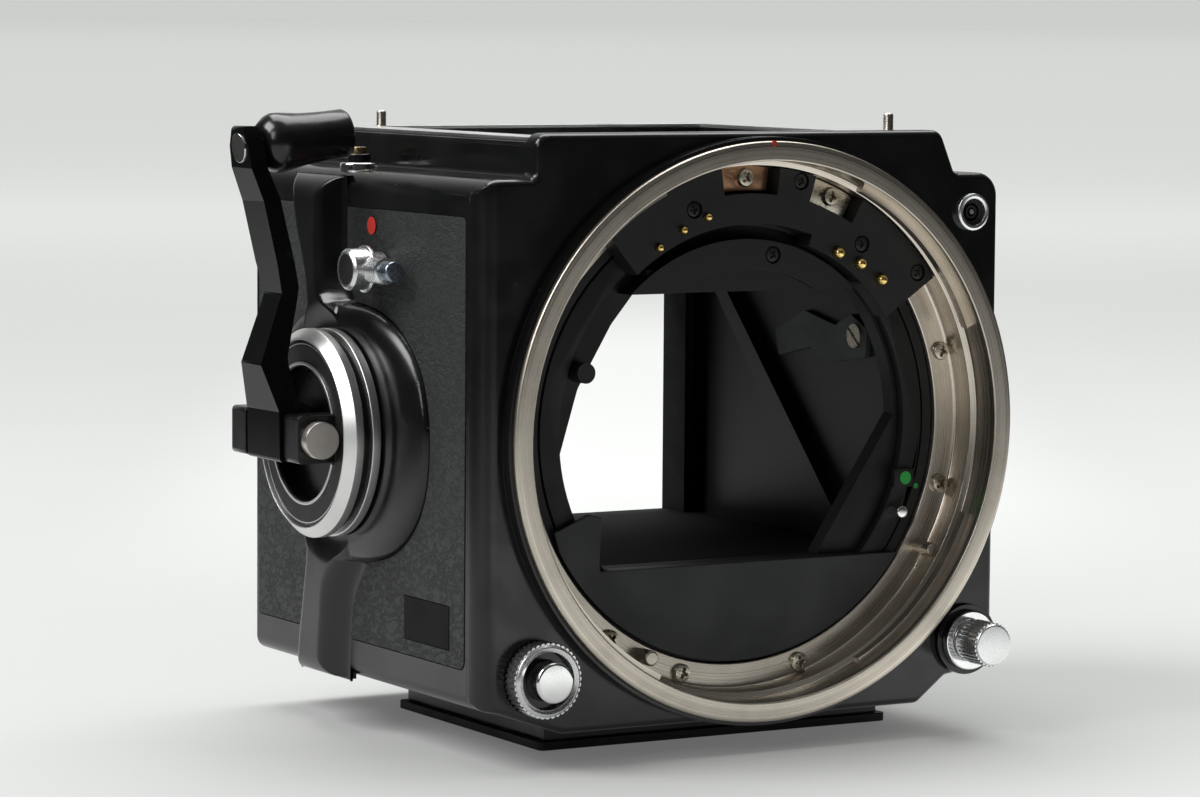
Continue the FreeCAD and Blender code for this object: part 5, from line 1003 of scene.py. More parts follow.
def cross_screw(radius: float, head: float, slot: float, depth: float) -> Mesh:
    """Pan-head screw with a cross recess, head towards -Y and its seat at y = 0.

    Args:
        radius: Radius of the head.
        head: Height of the head.
        slot: Half width of the recess's arms.
        depth: Depth of the recess.

    Returns:
        The mesh about the origin.
    """
    mesh = bmesh.new()
    arm = radius * 0.62
    around = circle(48)

    def recess(x: float, z: float) -> float:
        """Depth of the recess at a point of the head's top."""
        inside = 0.0
        for along, across in ((abs(x), abs(z)), (abs(z), abs(x))):
            if along < arm:
                wall = (slot * (1.25 - 0.5 * along / arm) - across) / (slot * 0.5)
                end = (arm - along) / (slot * 0.9)
                inside = max(inside, limited(min(wall, end)))
        return inside * depth

    rows = []
    centre = mesh.verts.new(Vector((0, -head + recess(0, 0), 0)) * MM)
    for ring in [radius * k / 22 for k in range(1, 20)] + [radius * 0.94, radius * 0.985, radius]:
        share = ring / radius
        crown = 1 - 0.18 * share ** 2 if share < 0.9 else 0.82 - (share - 0.9) * 3.2
        spots = [(ring * cosine, ring * sine) for cosine, sine in around]
        rows.append([mesh.verts.new(Vector((x, -head * crown + recess(x, z), z)) * MM)
                     for x, z in spots])
    rows.append([mesh.verts.new(Vector((radius * cosine, 0.15, radius * sine)) * MM)
                 for cosine, sine in around])
    for step in range(len(around)):
        after = (step + 1) % len(around)
        mesh.faces.new((centre, rows[0][step], rows[0][after]))
        for inner, outer in zip(rows, rows[1:]):
            mesh.faces.new((inner[step], outer[step], outer[after], inner[after]))
    mesh.faces.new(rows[-1])
    bmesh.ops.recalc_face_normals(mesh, faces=mesh.faces[:])
    return mesh


# ---------------------------------------------------------------- assemblies


@dataclass
class BodyShell:
    """Front casting, covers, deck and base."""

    edge: float = 0.22

    def build(self) -> None:
        """Dresses the outside pieces in gloss and matt black."""
        Piece.dress_all(
            ("front_panel", GLOSS_BLACK, 0.2),
            ("bottom_cover", GLOSS_BLACK, self.edge),
            ("far_side_cover", GLOSS_BLACK, self.edge),
            ("top_deck", GLOSS_BLACK, self.edge),
            ("tripod_plate", MATT_BLACK, 0.15, SHARP_ANGLE, "black_paint"),
            ("tripod_socket_insert", STEEL, 0.1),
            ("cover_screws", STEEL, 0.05),
            ("finder_seat_rim", BARE_ALLOY, 0.08),
            ("finder_location_pins", STEEL, 0.08),
            ("screen_frame", MATT_BLACK, 0.15),
            ("focusing_screen", SCREEN, 0.08),
            ("leather_far_panel", LEATHERETTE, 0.12))


@dataclass
class RaisedForm:
    """Ridge and boss of the winder side cover, one skin that is blended where they meet."""

    half: Point2 = (21.8, 16.7)
    power: float = 2.35
    boss_height: float = 2.1
    boss_draw: float = 8.3
    draw_share: float = 0.2766
    outside: float = -3.0
    outside_height: float = 0.8
    ridge_height: float = 2.6
    ridge_draw: float = 4.6
    front_edge: tuple[Point2, ...] = ((4.9, 5.4), (9.9, 5.4), (17.8, 4.4), (23.6, 0.0),
                                      (39.1, 3.2), (54.6, 3.2), (58.8, 6.6), (73.0, 6.6))
    rear_edge: tuple[Point2, ...] = ((4.9, 19.7), (10.4, 19.7), (23.4, 17.0), (56.0, 17.0),
                                     (66.0, 21.0), (73.0, 21.6))
    edge_windows: Point2 = (1.6, 2.6)
    foot: float = 6.8
    foot_round: float = 2.55
    top: float = 72.0
    top_round: float = 3.4
    seat_radius: float = 13.65
    seat_blend: float = 4.0
    hole_radius: float = 12.9
    fillet: float = 2.2
    step: float = 0.24
    first_column: float = -17.2
    width: float = 45.6
    skirt_depth: float = 0.5
    skirt_end: float = 0.9

    @staticmethod
    def along(points: Sequence[Point2], z: float, window: float) -> float:
        """Edge's place at a height, smoothed over a window of heights.

        Args:
            points: Corners (z, y) of the edge.
            z: Height.
            window: Half of the window.

        Returns:
            The place y.
        """
        total = 0.0
        for share in (-1.0, -0.5, 0.0, 0.5, 1.0):
            here = min(max(z + share * window, points[0][0]), points[-1][0])
            for (z0, y0), (z1, y1) in zip(points, points[1:]):
                if here <= z1:
                    total += y0 + (y1 - y0) * (here - z0) / (z1 - z0)
                    break
        return total / 5

    def boss_inset(self, y: float, z: float) -> float:
        """Distance from a point in to the boss's outline, below zero outside it."""
        dy, dz = abs(y - DIAL_CENTRE[0]), abs(z - DIAL_CENTRE[1])
        low, high = self.outside, self.boss_draw
        if dy > self.half[0] - self.outside or dz > self.half[1] + self.outside_height:
            return self.outside
        for _ in range(16):
            middle = (low + high) / 2
            reach = ((dy / (self.half[0] - middle)) ** self.power
                     + (dz / (self.half[1] - middle * self.draw_share)) ** self.power)
            if reach < 1.0:
                low = middle
            else:
                high = middle
        return low

    def ridge_inset(self, y: float, z: float) -> float:
        """Distance from a point in to the nearer edge of the ridge."""
        best = math.inf
        for points, window, side in ((self.front_edge, self.edge_windows[0], 1),
                                     (self.rear_edge, self.edge_windows[1], -1)):
            edge = self.along(points, z, window)
            slope = self.along(points, z + 0.5, window) - self.along(points, z - 0.5, window)
            best = min(best, side * (y - edge) / math.sqrt(1 + slope * slope))
        return best

    def insets(self, y: float, z: float) -> Point2:
        """Insets of the boss and the ridge at a point."""
        return self.boss_inset(y, z), self.ridge_inset(y, z)

    def rounded_end(self, past: float, rounding: float) -> float:
        """Greatest height of the ridge where a point lies past the start of a rounded end."""
        return self.ridge_height - rounding + math.sqrt(max(rounding ** 2 - past ** 2, 0.0))

    def height(self, y: float, z: float, boss: float, ridge: float) -> float:
        """Height of the skin over the side plane.

        Args:
            y: Place along the side.
            z: Height above the floor.
            boss: The boss's inset there.
            ridge: The ridge's inset there.

        Returns:
            The height in millimetres.
        """
        first = self.ridge_height * smooth(ridge / self.ridge_draw)
        start = self.top - self.top_round
        if z > start:
            first = min(first, self.rounded_end(z - start, self.top_round))
        start = self.foot + self.foot_round
        if z < start:
            first = min(first, self.rounded_end(start - z, self.foot_round))
        share = 1 - limited(boss / self.boss_draw)
        second = self.boss_height * math.sqrt(1 - share * share)
        lower, whole = min(first, second), max(first, second)
        if lower > 0:
            blend = min(self.fillet, 2 * lower)
            share = limited(0.5 + 0.5 * (first - second) / blend)
            whole = second * (1 - share) + first * share + blend * share * (1 - share)
        near = math.hypot(y - DIAL_CENTRE[0], z - DIAL_CENTRE[1])
        lift = smooth((near - self.seat_radius) / self.seat_blend)
        return min(whole, self.boss_height + (self.ridge_height - self.boss_height) * lift)

    def vertex(self, y: float, z: float, end: bool) -> Optional[Vector]:
        """Point of the skin for a point of the grid; near the outline it moves onto it.

        Args:
            y: Place along the side.
            z: Height above the floor.
            end: The point is in the lowest or highest row, which keeps its height.

        Returns:
            The point in metres, or None outside the form.
        """
        boss, ridge = self.insets(y, z)
        inside = max(boss, ridge)
        in_hole = math.hypot(y - DIAL_CENTRE[0], z - DIAL_CENTRE[1]) < self.hole_radius
        if in_hole or inside < -0.6 * self.step:
            return None
        place_y, place_z = y, z
        if inside < 0.35 * self.step:
            small = 0.05  # step that the slope of the inset is measured over
            turn_y = (max(self.insets(y + small, z)) - inside) / small
            turn_z = (max(self.insets(y, z + small)) - inside) / small
            square = max(turn_y ** 2 + turn_z ** 2, 0.2)
            place_y = y - inside * turn_y / square
            if not end:
                place_z = z - inside * turn_z / square
            boss, ridge = min(boss, 0.0), min(ridge, 0.0)
        lift = self.height(place_y, place_z, boss, ridge)
        return Vector((WINDER_SIDE - lift, place_y, place_z)) * MM

    def mesh(self) -> Mesh:
        """The skin, with a skirt that goes into the cover."""
        mesh = bmesh.new()
        start = self.top - self.top_round
        rows = [self.foot + self.step * k for k in range(int((start - self.foot) / self.step) + 1)]
        rows += [start + self.top_round * math.sin(math.radians(turn)) for turn in range(4, 89, 6)]
        columns = [self.first_column + self.step * k for k in range(int(self.width / self.step))]
        grid: dict[tuple[int, int], bmesh.types.BMVert] = {}
        for line, z in enumerate(rows):
            for column, y in enumerate(columns):
                spot = self.vertex(y, z, line in (0, len(rows) - 1))
                if spot:
                    grid[column, line] = mesh.verts.new(spot)
        for line in range(len(rows) - 1):
            for column in range(len(columns) - 1):
                keys = ((column, line), (column, line + 1), (column + 1, line + 1),
                        (column + 1, line))
                corners = [grid[key] for key in keys if key in grid]
                if len(corners) > 2:
                    mesh.faces.new(corners)
        loose = [vert for vert in mesh.verts if not vert.link_faces]
        bmesh.ops.delete(mesh, geom=loose, context="VERTS")
        border = [edge for edge in mesh.edges if edge.is_boundary]
        for item in bmesh.ops.extrude_edge_only(mesh, edges=border)["geom"]:
            if isinstance(item, bmesh.types.BMVert):
                item.co.x = max(item.co.x + self.skirt_depth * MM,
                                (WINDER_SIDE + self.skirt_end) * MM)
        bmesh.ops.recalc_face_normals(mesh, faces=mesh.faces[:])
        if sum(face.normal.x for face in mesh.faces) > 0:
            bmesh.ops.reverse_faces(mesh, faces=mesh.faces[:])
        return mesh


@dataclass
class WindingSide:
    """Winder side cover, leather, dial, crank, grip, lever and finder button."""

    foot_top: float = 7.2
    foot_span: Point2 = (4.4, 20.6)
    foot_depth: float = 3.0
    dot_radius: float = 1.14
    dot_seat: float = 1.5
    dial_radius: float = 13.45
    dial_front: float = -47.6
    dial_back: float = -42.9
    fork_height: float = 39.2
    fork_half: float = 3.2
    lever_centre: Point2 = (-3.9, 60.6)
    grip_foot: Point3 = (-56.4, 5.4, 75.7)
    grip_gap: float = 2.95
    grip_tilt: float = 6.7
    button_spot: Point2 = (-36.5, 11.2)
    button_seat: float = 72.42

    def cover(self) -> None:
        """Winder side cover, leather, badge place and dot; the form replaces raised faces."""
        mesh = Piece.merged("winder_side_cover")
        doomed = []
        for face in mesh.faces:
            spot = face.calc_center_median() / MM
            off_dot = math.hypot(spot.y - RED_DOT[0], spot.z - RED_DOT[1]) > self.dot_seat
            raised = spot.x < WINDER_SIDE - 0.04 and off_dot
            foot = (spot.z < self.foot_top and self.foot_span[0] < spot.y < self.foot_span[1]
                    and spot.x < WINDER_SIDE + self.foot_depth)
            if raised or foot:
                doomed.append(face)
        bmesh.ops.delete(mesh, geom=doomed, context="FACES")
        Piece.soften(mesh, 0.22)
        Piece.finish("winder_side_cover_dressed", mesh, GLOSS_BLACK, "winder_side_cover", True,
                     weigh=True)
        Piece.finish("winder_side_form", RaisedForm().mesh(), GLOSS_BLACK, "winder_side_cover",
                     sharp=70.0)
        Piece.dress_all(("leather_front_panel", LEATHERETTE, 0.1),
                        ("leather_rear_panel", LEATHERETTE, 0.1),
                        ("blank_badge_plate", DEEP_BLACK, 0.05, SHARP_ANGLE, "blackened"))
        dot = Forms.peg(self.dot_radius, WINDER_SIDE - 0.27, WINDER_SIDE - 0.2, 0.0, Axis.X,
                        RED_DOT)
        Piece.finish("red_dot_winder", dot, RED_PAINT, "winder_side_cover")

    def dial(self) -> None:
        """Crank dial with its chrome rings, turned smooth."""
        front, back, outer = self.dial_front, self.dial_back, self.dial_radius
        inner = outer - 1.4
        outlines = (
            [(inner, front, 0.06), (inner + 0.18, front, 0.06), (outer, front + 1.2, 0.12),
             (outer, front + 2.3, 0.14), (inner, front + 2.3, 0.0)],
            [(outer - 1.08, front + 3.52, 0.0), (outer - 0.05, front + 3.52, 0.15),
             (outer - 0.05, back, 0.12), (outer - 1.08, back, 0.0)],
            [(11.42, front + 0.34, 0.0), (11.56, front + 0.34, 0.0), (11.56, front + 0.5, 0.0),
             (11.42, front + 0.5, 0.0)],
            [(8.8, front + 0.1, 0.06), (9.2, front + 0.1, 0.06), (9.2, front + 0.38, 0.0),
             (8.8, front + 0.38, 0.0)])
        shapes = [Forms.turned(outline, Axis.X, DIAL_CENTRE, 192) for outline in outlines]
        trim = shapes[-1]
        under_fork = [face for face in trim.faces if abs(
            face.calc_center_median().z / MM - self.fork_height) < self.fork_half]
        bmesh.ops.delete(trim, geom=under_fork, context="FACES")
        holes = [edge for edge in trim.edges if edge.is_boundary]
        bmesh.ops.holes_fill(trim, edges=holes, sides=0)
        Piece.finish("dial_chrome_rings_turned", Forms.joined(shapes), DIAL_CHROME,
                     "dial_chrome_rings", True)
        Piece.dress("crank_dial", GLOSS_PLASTIC, 0.1)
        plate = Forms.lathe([(9.35, front + 0.36), (11.3, front + 0.36), (11.3, front + 0.5),
                             (9.35, front + 0.5)], Axis.X, DIAL_CENTRE)
        Piece.finish("dial_face_grain", plate, PEBBLED_PLASTIC, "crank_dial")
        Piece.dress_all(("crank_hinge_pin", PIN_CHROME, 0.12), ("winding_shaft", STEEL, 0.1))

    def crank(self) -> None:
        """Folding arm, its axle, and the grip turned about the tilted axle."""
        Piece.dress_all(("crank_arm", ARM_BLACK, 0.8, 60.0), ("grip_axle", POLISHED, 0.12))
        x, y, z = self.grip_foot
        profile = ((1.25, 0.0), (2.5, 0.0), (3.05, 0.6), (3.55, 1.25), (3.83, 2.0), (3.8, 2.9),
                   (3.6, 4.2), (3.36, 5.8), (3.22, 7.8), (3.15, 9.6), (3.15, 11.75),
                   (2.98, 12.1), (2.6, 12.2), (0.0, 12.2), (0.0, 11.3), (1.25, 11.3))
        start = x + self.grip_gap
        mesh = Forms.lathe([(radius, start + along) for radius, along in profile], Axis.X,
                           (y, z), 96)
        spot = Vector(self.grip_foot) * MM
        turned = Matrix.Translation(spot) @ Matrix.Rotation(math.radians(-self.grip_tilt), 4, "Y")
        bmesh.ops.transform(mesh, matrix=turned @ Matrix.Translation(-spot), verts=mesh.verts[:])
        Piece.finish("crank_grip_turned", mesh, GLOSS_PLASTIC, "crank_grip", True, 50.0)

    def lever(self) -> None:
        """Multiple exposure lever: bright knob, dark face, ringed thumb piece and blued tip."""
        y, z = self.lever_centre
        node = "multi_exposure_lever"
        front = WINDER_SIDE - 5.5
        knob = Forms.turned([(1.95, front + 0.1, 0.0), (2.25, front, 0.1),
                             (2.65, front + 0.35, 0.25), (2.65, front + 2.5, 0.1),
                             (3.0, front + 2.6, 0.1), (3.0, front + 3.1, 0.15),
                             (2.15, front + 3.1, 0.0), (2.15, -40.93, 0.0), (1.2, -40.93, 0.0),
                             (1.2, -37.75, 0.0), (0.0, -37.75, 0.0), (0.0, front + 0.1, 0.0)],
                            Axis.X, (y, z), 64)
        middle = (front + 2.9, z)
        outline = [(0.0, y - 5.6), (1.5, y - 5.6)]
        for index in range(8):
            ring = y - 5.5 + 0.5 * index
            outline += [(1.68, ring), (1.7, ring + 0.14), (1.68, ring + 0.3), (1.5, ring + 0.4)]
        outline += [(1.6, y - 1.5), (1.6, y - 0.8), (0.0, y - 0.8)]
        thumb = Forms.lathe(outline, Axis.Y, middle, 48)
        tip = Forms.peg(1.35, y - 8.1, y - 5.55, 0.35, Axis.Y, middle, 40)
        face = Forms.peg(1.97, front + 0.08, front + 0.3, 0.0, Axis.X, (y, z))
        Piece.finish("multi_exposure_bright", Forms.joined([knob, thumb]), KNOB_CHROME, node,
                     True, slot="bright_chrome")
        Piece.finish("multi_exposure_face", face, DARK_SCREW, node)
        Piece.finish("multi_exposure_tip", tip, BLUED, node)

    def button(self) -> None:
        """Finder release button with its washer and dark collar."""
        spot, seat = self.button_spot, self.button_seat
        washer = Forms.turned([(1.6, seat, 0.0), (2.45, seat, 0.0), (2.45, 73.5, 0.4),
                               (1.6, 73.5, 0.0)], Axis.Z, spot, 64)
        Piece.finish("finder_button_washer", washer, POLISHED, "finder_button_base", True)
        collar = Forms.turned([(1.06, seat, 0.0), (1.55, seat, 0.0), (1.55, 74.6, 0.2),
                               (1.06, 74.6, 0.1)], Axis.Z, spot, 48)
        Piece.finish("finder_button_collar", collar, GLOSS_PLASTIC, "finder_button_base")
        Piece.dress("finder_release_button", OLD_BRASS, 0.15)

    def build(self) -> None:
        """Builds everything on the crank's side."""
        self.cover()
        self.dial()
        self.crank()
        self.lever()
        self.button()


@dataclass
class LensMount:
    """Bayonet ring, its lugs, screws, stop post and index mark."""

    front: float = -32.0
    outer: float = 36.8
    lip: float = 34.3
    bore: float = 33.6
    back: float = -22.02
    back_radius: float = 34.25
    rim_back: float = -27.42
    flange_bore: float = 30.3
    flange_front: float = -24.0
    lug_inner: float = 33.4
    lug_outer: float = 34.5
    lug_half: float = 21.5
    lug_middles: tuple[float, ...] = (43.0, 137.0, 222.5, 317.8)
    stop_post: Point2 = (31.7, -116.0)
    screw_circle: float = 32.1
    screw_angles: tuple[float, ...] = (16.0, -15.5, -73.0, -105.0, -126.0, 164.0, 196.0)
    bracket_front: float = -25.14
    block_front: float = -26.42

    def ring(self) -> None:
        """Turned ring with its four lugs and stop post."""
        parts = [Forms.turned([
            (self.lip, self.front, 0.2), (self.outer, self.front, 0.4),
            (self.outer, self.rim_back, 0.0), (self.back_radius, self.rim_back, 0.0),
            (self.back_radius, self.back, 0.0), (self.flange_bore, self.back, 0.0),
            (self.flange_bore, self.flange_front, 0.2), (self.bore, self.flange_front, 0.6),
            (self.bore, -27.4, 0.1), (self.lip, -27.8, 0.15)], Axis.Y, (0.0, LENS_HEIGHT), 256, 4)]
        for middle in self.lug_middles:
            parts.append(Forms.ring_part(self.lug_inner, self.lug_outer, middle - self.lug_half,
                                         middle + self.lug_half, -30.0, -28.7))
        parts.append(Forms.peg(1.0, -26.4, -23.9, 0.3, Axis.Y, on_circle(*self.stop_post)))
        Piece.finish("lens_mount_ring_turned", Forms.joined(parts), RING_CHROME,
                     "lens_mount_ring", True)
        mark = Forms.ring_part(36.1, 36.83, 89.6, 90.4, self.front - 0.03, self.front + 0.5, 4)
        Piece.finish("red_index_mark", mark, RED_PAINT, "lens_mount_ring")

    def screws(self) -> None:
        """Bright flange screws and dark block screws, from one template each."""
        bright = [(self.screw_circle, angle, self.flange_front - 0.02, 17.0 + 31.0 * index)
                  for index, angle in enumerate(self.screw_angles)]
        bright += [(self.screw_circle - 0.1, 90.5, self.bracket_front, 40.0),
                   (self.screw_circle - 0.1, 66.75, self.bracket_front, 20.0)]
        block = self.block_front
        dark = [(32.3, 77.0, block, 25.0), (29.4, 107.0, block, -10.0),
                (31.9, 37.5, block, 40.0), (28.6, 54.5, block, 5.0),
                (22.5, 79.0, -24.62, 33.0)]
        for name, rows, sizes, finish in (
                ("mount_screws_bright", bright, (1.2, 0.8, 0.22, 0.7), STEEL),
                ("mount_screws_dark", dark, (1.0, 0.45, 0.17, 0.3), DARK_SCREW)):
            spots = [(x, y, z) for (x, z), y in
                     ((on_circle(radius, angle), seat) for radius, angle, seat, _ in rows)]
            mesh = Repeats.at_points(spots, [row[-1] for row in rows], cross_screw(*sizes), finish)
            Piece.finish(name, mesh, finish, "mount_screws", finish is STEEL)

    def build(self) -> None:
        """Builds the ring and its screws."""
        self.ring()
        self.screws()


@dataclass
class MountInterior:
    """What shows through the mount: plates, blocks, contacts, cocking ring, chamber."""

    between_brackets: float = 6.2
    drive_pin: Point2 = (27.2, -26.0)
    lever_dot: Point2 = (26.9, -16.5)
    rim_dot: Point2 = (29.35, -17.6)
    paint: float = 0.09
    lift_screw: Point2 = (-12.5, 10.2)
    lift_screw_radius: float = 1.62
    lift_wall: float = 25.26

    def split_brackets(self) -> None:
        """One coppered bracket and one bright one, from the node's two solids."""
        for name, finish, side in (("contact_bracket_copper", COPPER, -1),
                                   ("contact_bracket_bright", STEEL, 1)):
            mesh = Piece.merged("contact_brackets")
            other = [vert for vert in mesh.verts
                     if (vert.co.x - self.between_brackets * MM) * side < 0]
            bmesh.ops.delete(mesh, geom=other, context="VERTS")
            Piece.soften(mesh, 0.1)
            Piece.finish(name, mesh, finish, "contact_brackets", side < 0)

    def cocking(self) -> None:
        """Cocking ring in black with a bright drive pin, and the green dots."""
        mesh = Piece.merged("cocking_ring")
        Piece.soften(mesh, 0.08)
        Piece.finish("cocking_ring_dressed", mesh, MATT_BLACK, "cocking_ring", True,
                     slot="matt_black")
        pin = Forms.peg(0.8, -25.55, -23.2, 0.25, Axis.Y, on_circle(*self.drive_pin))
        Piece.finish("drive_pin_bright", pin, POLISHED, "cocking_ring", slot="steel")
        for name, radius, front, spot, node in (
                ("green_dot_lever", 0.85, -24.09, self.lever_dot, "cocking_ring"),
                ("green_dot_rim", 0.36, -23.24, self.rim_dot, "front_aperture_plate")):
            dot = Forms.peg(radius, front, front + self.paint, 0.0, Axis.Y, on_circle(*spot))
            Piece.finish(name, dot, GREEN_PAINT, node)

    def lift_lever(self) -> None:
        """Slate grey lever plate on the chamber's wall, and its bright slotted screw."""
        def of_screw(face: bmesh.types.BMFace) -> bool:
            """A face belongs to the screw's head."""
            spot = face.calc_center_median() / MM
            away = math.hypot(spot.y - self.lift_screw[0],
                              spot.z - LENS_HEIGHT - self.lift_screw[1])
            return away < self.lift_screw_radius and spot.x < self.lift_wall

        for name, finish, bright in (("mirror_lift_plate", SLATE, False),
                                     ("mirror_lift_screw", STEEL, True)):
            mesh = Piece.merged("mirror_lift_lever")
            doomed = [face for face in mesh.faces if of_screw(face) != bright]
            bmesh.ops.delete(mesh, geom=doomed, context="FACES")
            Piece.finish(name, mesh, finish, "mirror_lift_lever", not bright, weigh=True)

    def build(self) -> None:
        """Builds the inside of the mount."""
        Piece.dress_all(("front_aperture_plate", MATT_BLACK, 0.12),
                        ("lower_baffle_panel", BAFFLE_BLACK, 0.12),
                        ("upper_contact_block", BLOCK_BLACK, 0.2),
                        ("lower_contact_plate", BLOCK_BLACK, 0.15),
                        ("contact_pins", GILT, 0.0, 60.0))
        self.split_brackets()
        self.cocking()
        Piece.dress_all(("mirror_box", CHAMBER, 0.12), ("rear_frame", DEEP_BLACK, 0.15),
                        ("rear_light_seal", FOAM, 0.05), ("mirror_holder", BARE_ALLOY, 0.1),
                        ("mirror_glass", SILVERED, 0.05), ("mirror_hinge_pins", STEEL, 0.05),
                        ("rear_baffle_flap", MATT_BLACK, 0.1))
        self.lift_lever()
        Piece.dress("lens_lock_pin", STEEL, 0.12)


@dataclass
class FrontControls:
    """Release button with its collar, accessory socket with its cap, flash terminal."""

    release: Point2 = (-32.15, 11.1)
    socket: Point2 = (31.5, 11.9)
    flash: Point2 = (31.7, 67.7)

    def release_button(self) -> None:
        """Bright release button in a toothed collar."""
        ring = Forms.turned([(3.6, -32.3, 0.1), (4.15, -32.5, 0.15), (4.5, -32.2, 0.15),
                             (4.5, -29.75, 0.0), (3.6, -29.75, 0.0)], Axis.Y, self.release, 96)
        teeth = Repeats.teeth(40, 4.44, 0.31, 2.3, Axis.Y, self.release, -32.1, KNOB_CHROME)
        Piece.finish("release_lock_collar_toothed", Forms.joined([ring, teeth]), KNOB_CHROME,
                     "release_lock_collar", True)
        button = Forms.turned([(0.0, -34.1, 0.0), (2.55, -34.1, 0.35), (2.55, -28.98, 0.0),
                               (1.2, -28.98, 0.0), (1.2, -24.3, 0.0), (0.0, -24.3, 0.0)],
                              Axis.Y, self.release, 64)
        Piece.finish("shutter_release_button_turned", button, POLISHED, "shutter_release_button",
                     True)

    def accessory(self) -> None:
        """Socket ring and the knurled cap in it."""
        Piece.dress("accessory_socket", POLISHED, 0.25)
        rim = Forms.turned([(0.0, -36.6, 0.0), (2.6, -36.6, 0.25), (2.75, -36.2, 0.0),
                            (2.75, -31.8, 0.1), (2.45, -31.8, 0.0), (2.45, -27.1, 0.0),
                            (0.0, -27.1, 0.0)], Axis.Y, self.socket, 64)
        teeth = Repeats.teeth(30, 2.7, 0.19, 4.0, Axis.Y, self.socket, -36.3, KNOB_CHROME)
        Piece.finish("socket_cap_knurled", Forms.joined([rim, teeth]), KNOB_CHROME, "socket_cap",
                     True, slot="bright_chrome")

    def terminal(self) -> None:
        """Coaxial flash terminal: ring, black insulator and centre contact."""
        ring = Forms.turned([(1.75, -30.3, 0.05), (2.1, -30.4, 0.1), (2.4, -30.2, 0.15),
                             (2.4, -29.52, 0.0), (1.75, -29.52, 0.0)], Axis.Y, self.flash, 64)
        contact = Forms.peg(0.34, -29.76, -29.4, 0.0, Axis.Y, self.flash, 24)
        Piece.finish("flash_terminal_ring", Forms.joined([ring, contact]), KNOB_CHROME,
                     "flash_terminal", True)
        insulator = Forms.turned([(0.0, -28.9, 0.0), (0.6, -28.9, 0.0), (0.6, -29.66, 0.05),
                                  (0.85, -29.66, 0.05), (0.85, -28.7, 0.0), (1.2, -28.7, 0.0),
                                  (1.2, -29.68, 0.05), (1.73, -29.68, 0.05), (1.73, -28.0, 0.0),
                                  (0.0, -28.0, 0.0)], Axis.Y, self.flash, 48)
        Piece.finish("flash_terminal_insulator", insulator, BLOCK_BLACK, "flash_terminal",
                     slot="black_plastic")

    def build(self) -> None:
        """Builds the controls on the front."""
        self.release_button()
        self.accessory()
        self.terminal()


@dataclass
class FarSide:
    """Speed dial, battery check button and lens release lever."""

    dial: Point2 = (8.0, 52.0)
    seat: float = 36.52
    height: float = 5.2
    number_radius: float = 8.45
    number_size: float = 1.75
    number_step: float = 30.0
    speeds: tuple[str, ...] = ("1", "2", "4", "8", "15", "30", "60", "125", "250", "500")

    def number(self, text: str, degrees: float) -> bpy.types.Mesh:
        """Plain number on the dial's face.

        Args:
            text: The number.
            degrees: Its place round the dial.

        Returns:
            Its mesh in metres.
        """
        curve = bpy.data.curves.new("speed", "FONT")
        curve.body = text
        curve.size = self.number_size * MM
        curve.extrude = 0.02 * MM
        curve.align_x = curve.align_y = "CENTER"
        source = bpy.data.objects.new("speed", curve)
        bpy.context.scene.collection.objects.link(source)
        data = Forms.evaluated(source)
        bpy.data.objects.remove(source)
        upright = Matrix(((0, 0, 1, 0), (1, 0, 0, 0), (0, 1, 0, 0), (0, 0, 0, 1)))
        spin = Matrix.Rotation(math.radians(degrees) - math.pi / 2, 4, "X")
        spot = place(Axis.X, self.seat + self.height + 0.012,
                     *on_circle(self.number_radius, degrees, self.dial))
        data.transform(Matrix.Translation(spot) @ spin @ upright)
        return data

    def speed_dial(self) -> None:
        """Dial with ribs round its rim and plain numbers on its face."""
        seat, top = self.seat, self.seat + self.height
        body = Forms.turned([(0.0, top, 0.0), (6.7, top, 0.1), (6.8, top - 0.5, 0.0),
                             (7.3, top - 0.5, 0.0), (7.4, top, 0.1), (9.4, top, 0.3),
                             (10.2, top - 0.9, 0.2), (10.2, seat + 0.8, 0.0),
                             (10.5, seat + 0.7, 0.1), (10.5, seat, 0.1), (3.0, seat, 0.0),
                             (3.0, 32.4, 0.0), (0.0, 32.4, 0.0)], Axis.X, self.dial, 128)
        ribs = Repeats.teeth(60, 10.12, 0.34, 3.4, Axis.X, self.dial, seat + 0.75, BLACKENED)
        Piece.finish("shutter_speed_dial_ribbed", Forms.joined([body, ribs]), GLOSS_PLASTIC,
                     "shutter_speed_dial", True)
        letters = bmesh.new()
        for index, text in enumerate(self.speeds):
            data = self.number(text, 90 - self.number_step * index)
            letters.from_mesh(data)
            bpy.data.meshes.remove(data)
        Piece.finish("speed_numbers", letters, WHITE_PAINT, "shutter_speed_dial")
        mark = Forms.prism([(7.6, 64.4), (8.4, 64.4), (8.0, 63.2)], Axis.X, seat - 0.3,
                           seat - 0.22)
        Piece.finish("speed_index_mark", mark, WHITE_PAINT, "leather_far_panel")

    def build(self) -> None:
        """Builds the controls on the far side."""
        self.speed_dial()
        Piece.dress_all(("battery_check_button", POLISHED, 0.3),
                        ("lens_release_lever", GLOSS_PLASTIC, 0.5))


@dataclass
class HiddenParts:
    """Gears, battery and electronics inside the body."""

    gear_sharp: float = 25.0

    def build(self) -> None:
        """Dresses what the covers hide."""
        for node in ("drive_gear", "idler_gear", "output_gear", "gear_studs", "release_magnet"):
            Piece.dress(node, STEEL, 0.0, self.gear_sharp)
        Piece.dress_all(("battery", BARE_ALLOY, 0.4), ("battery_lid", BLOCK_BLACK, 0.12),
                        ("circuit_board", LAMINATE, 0.05))


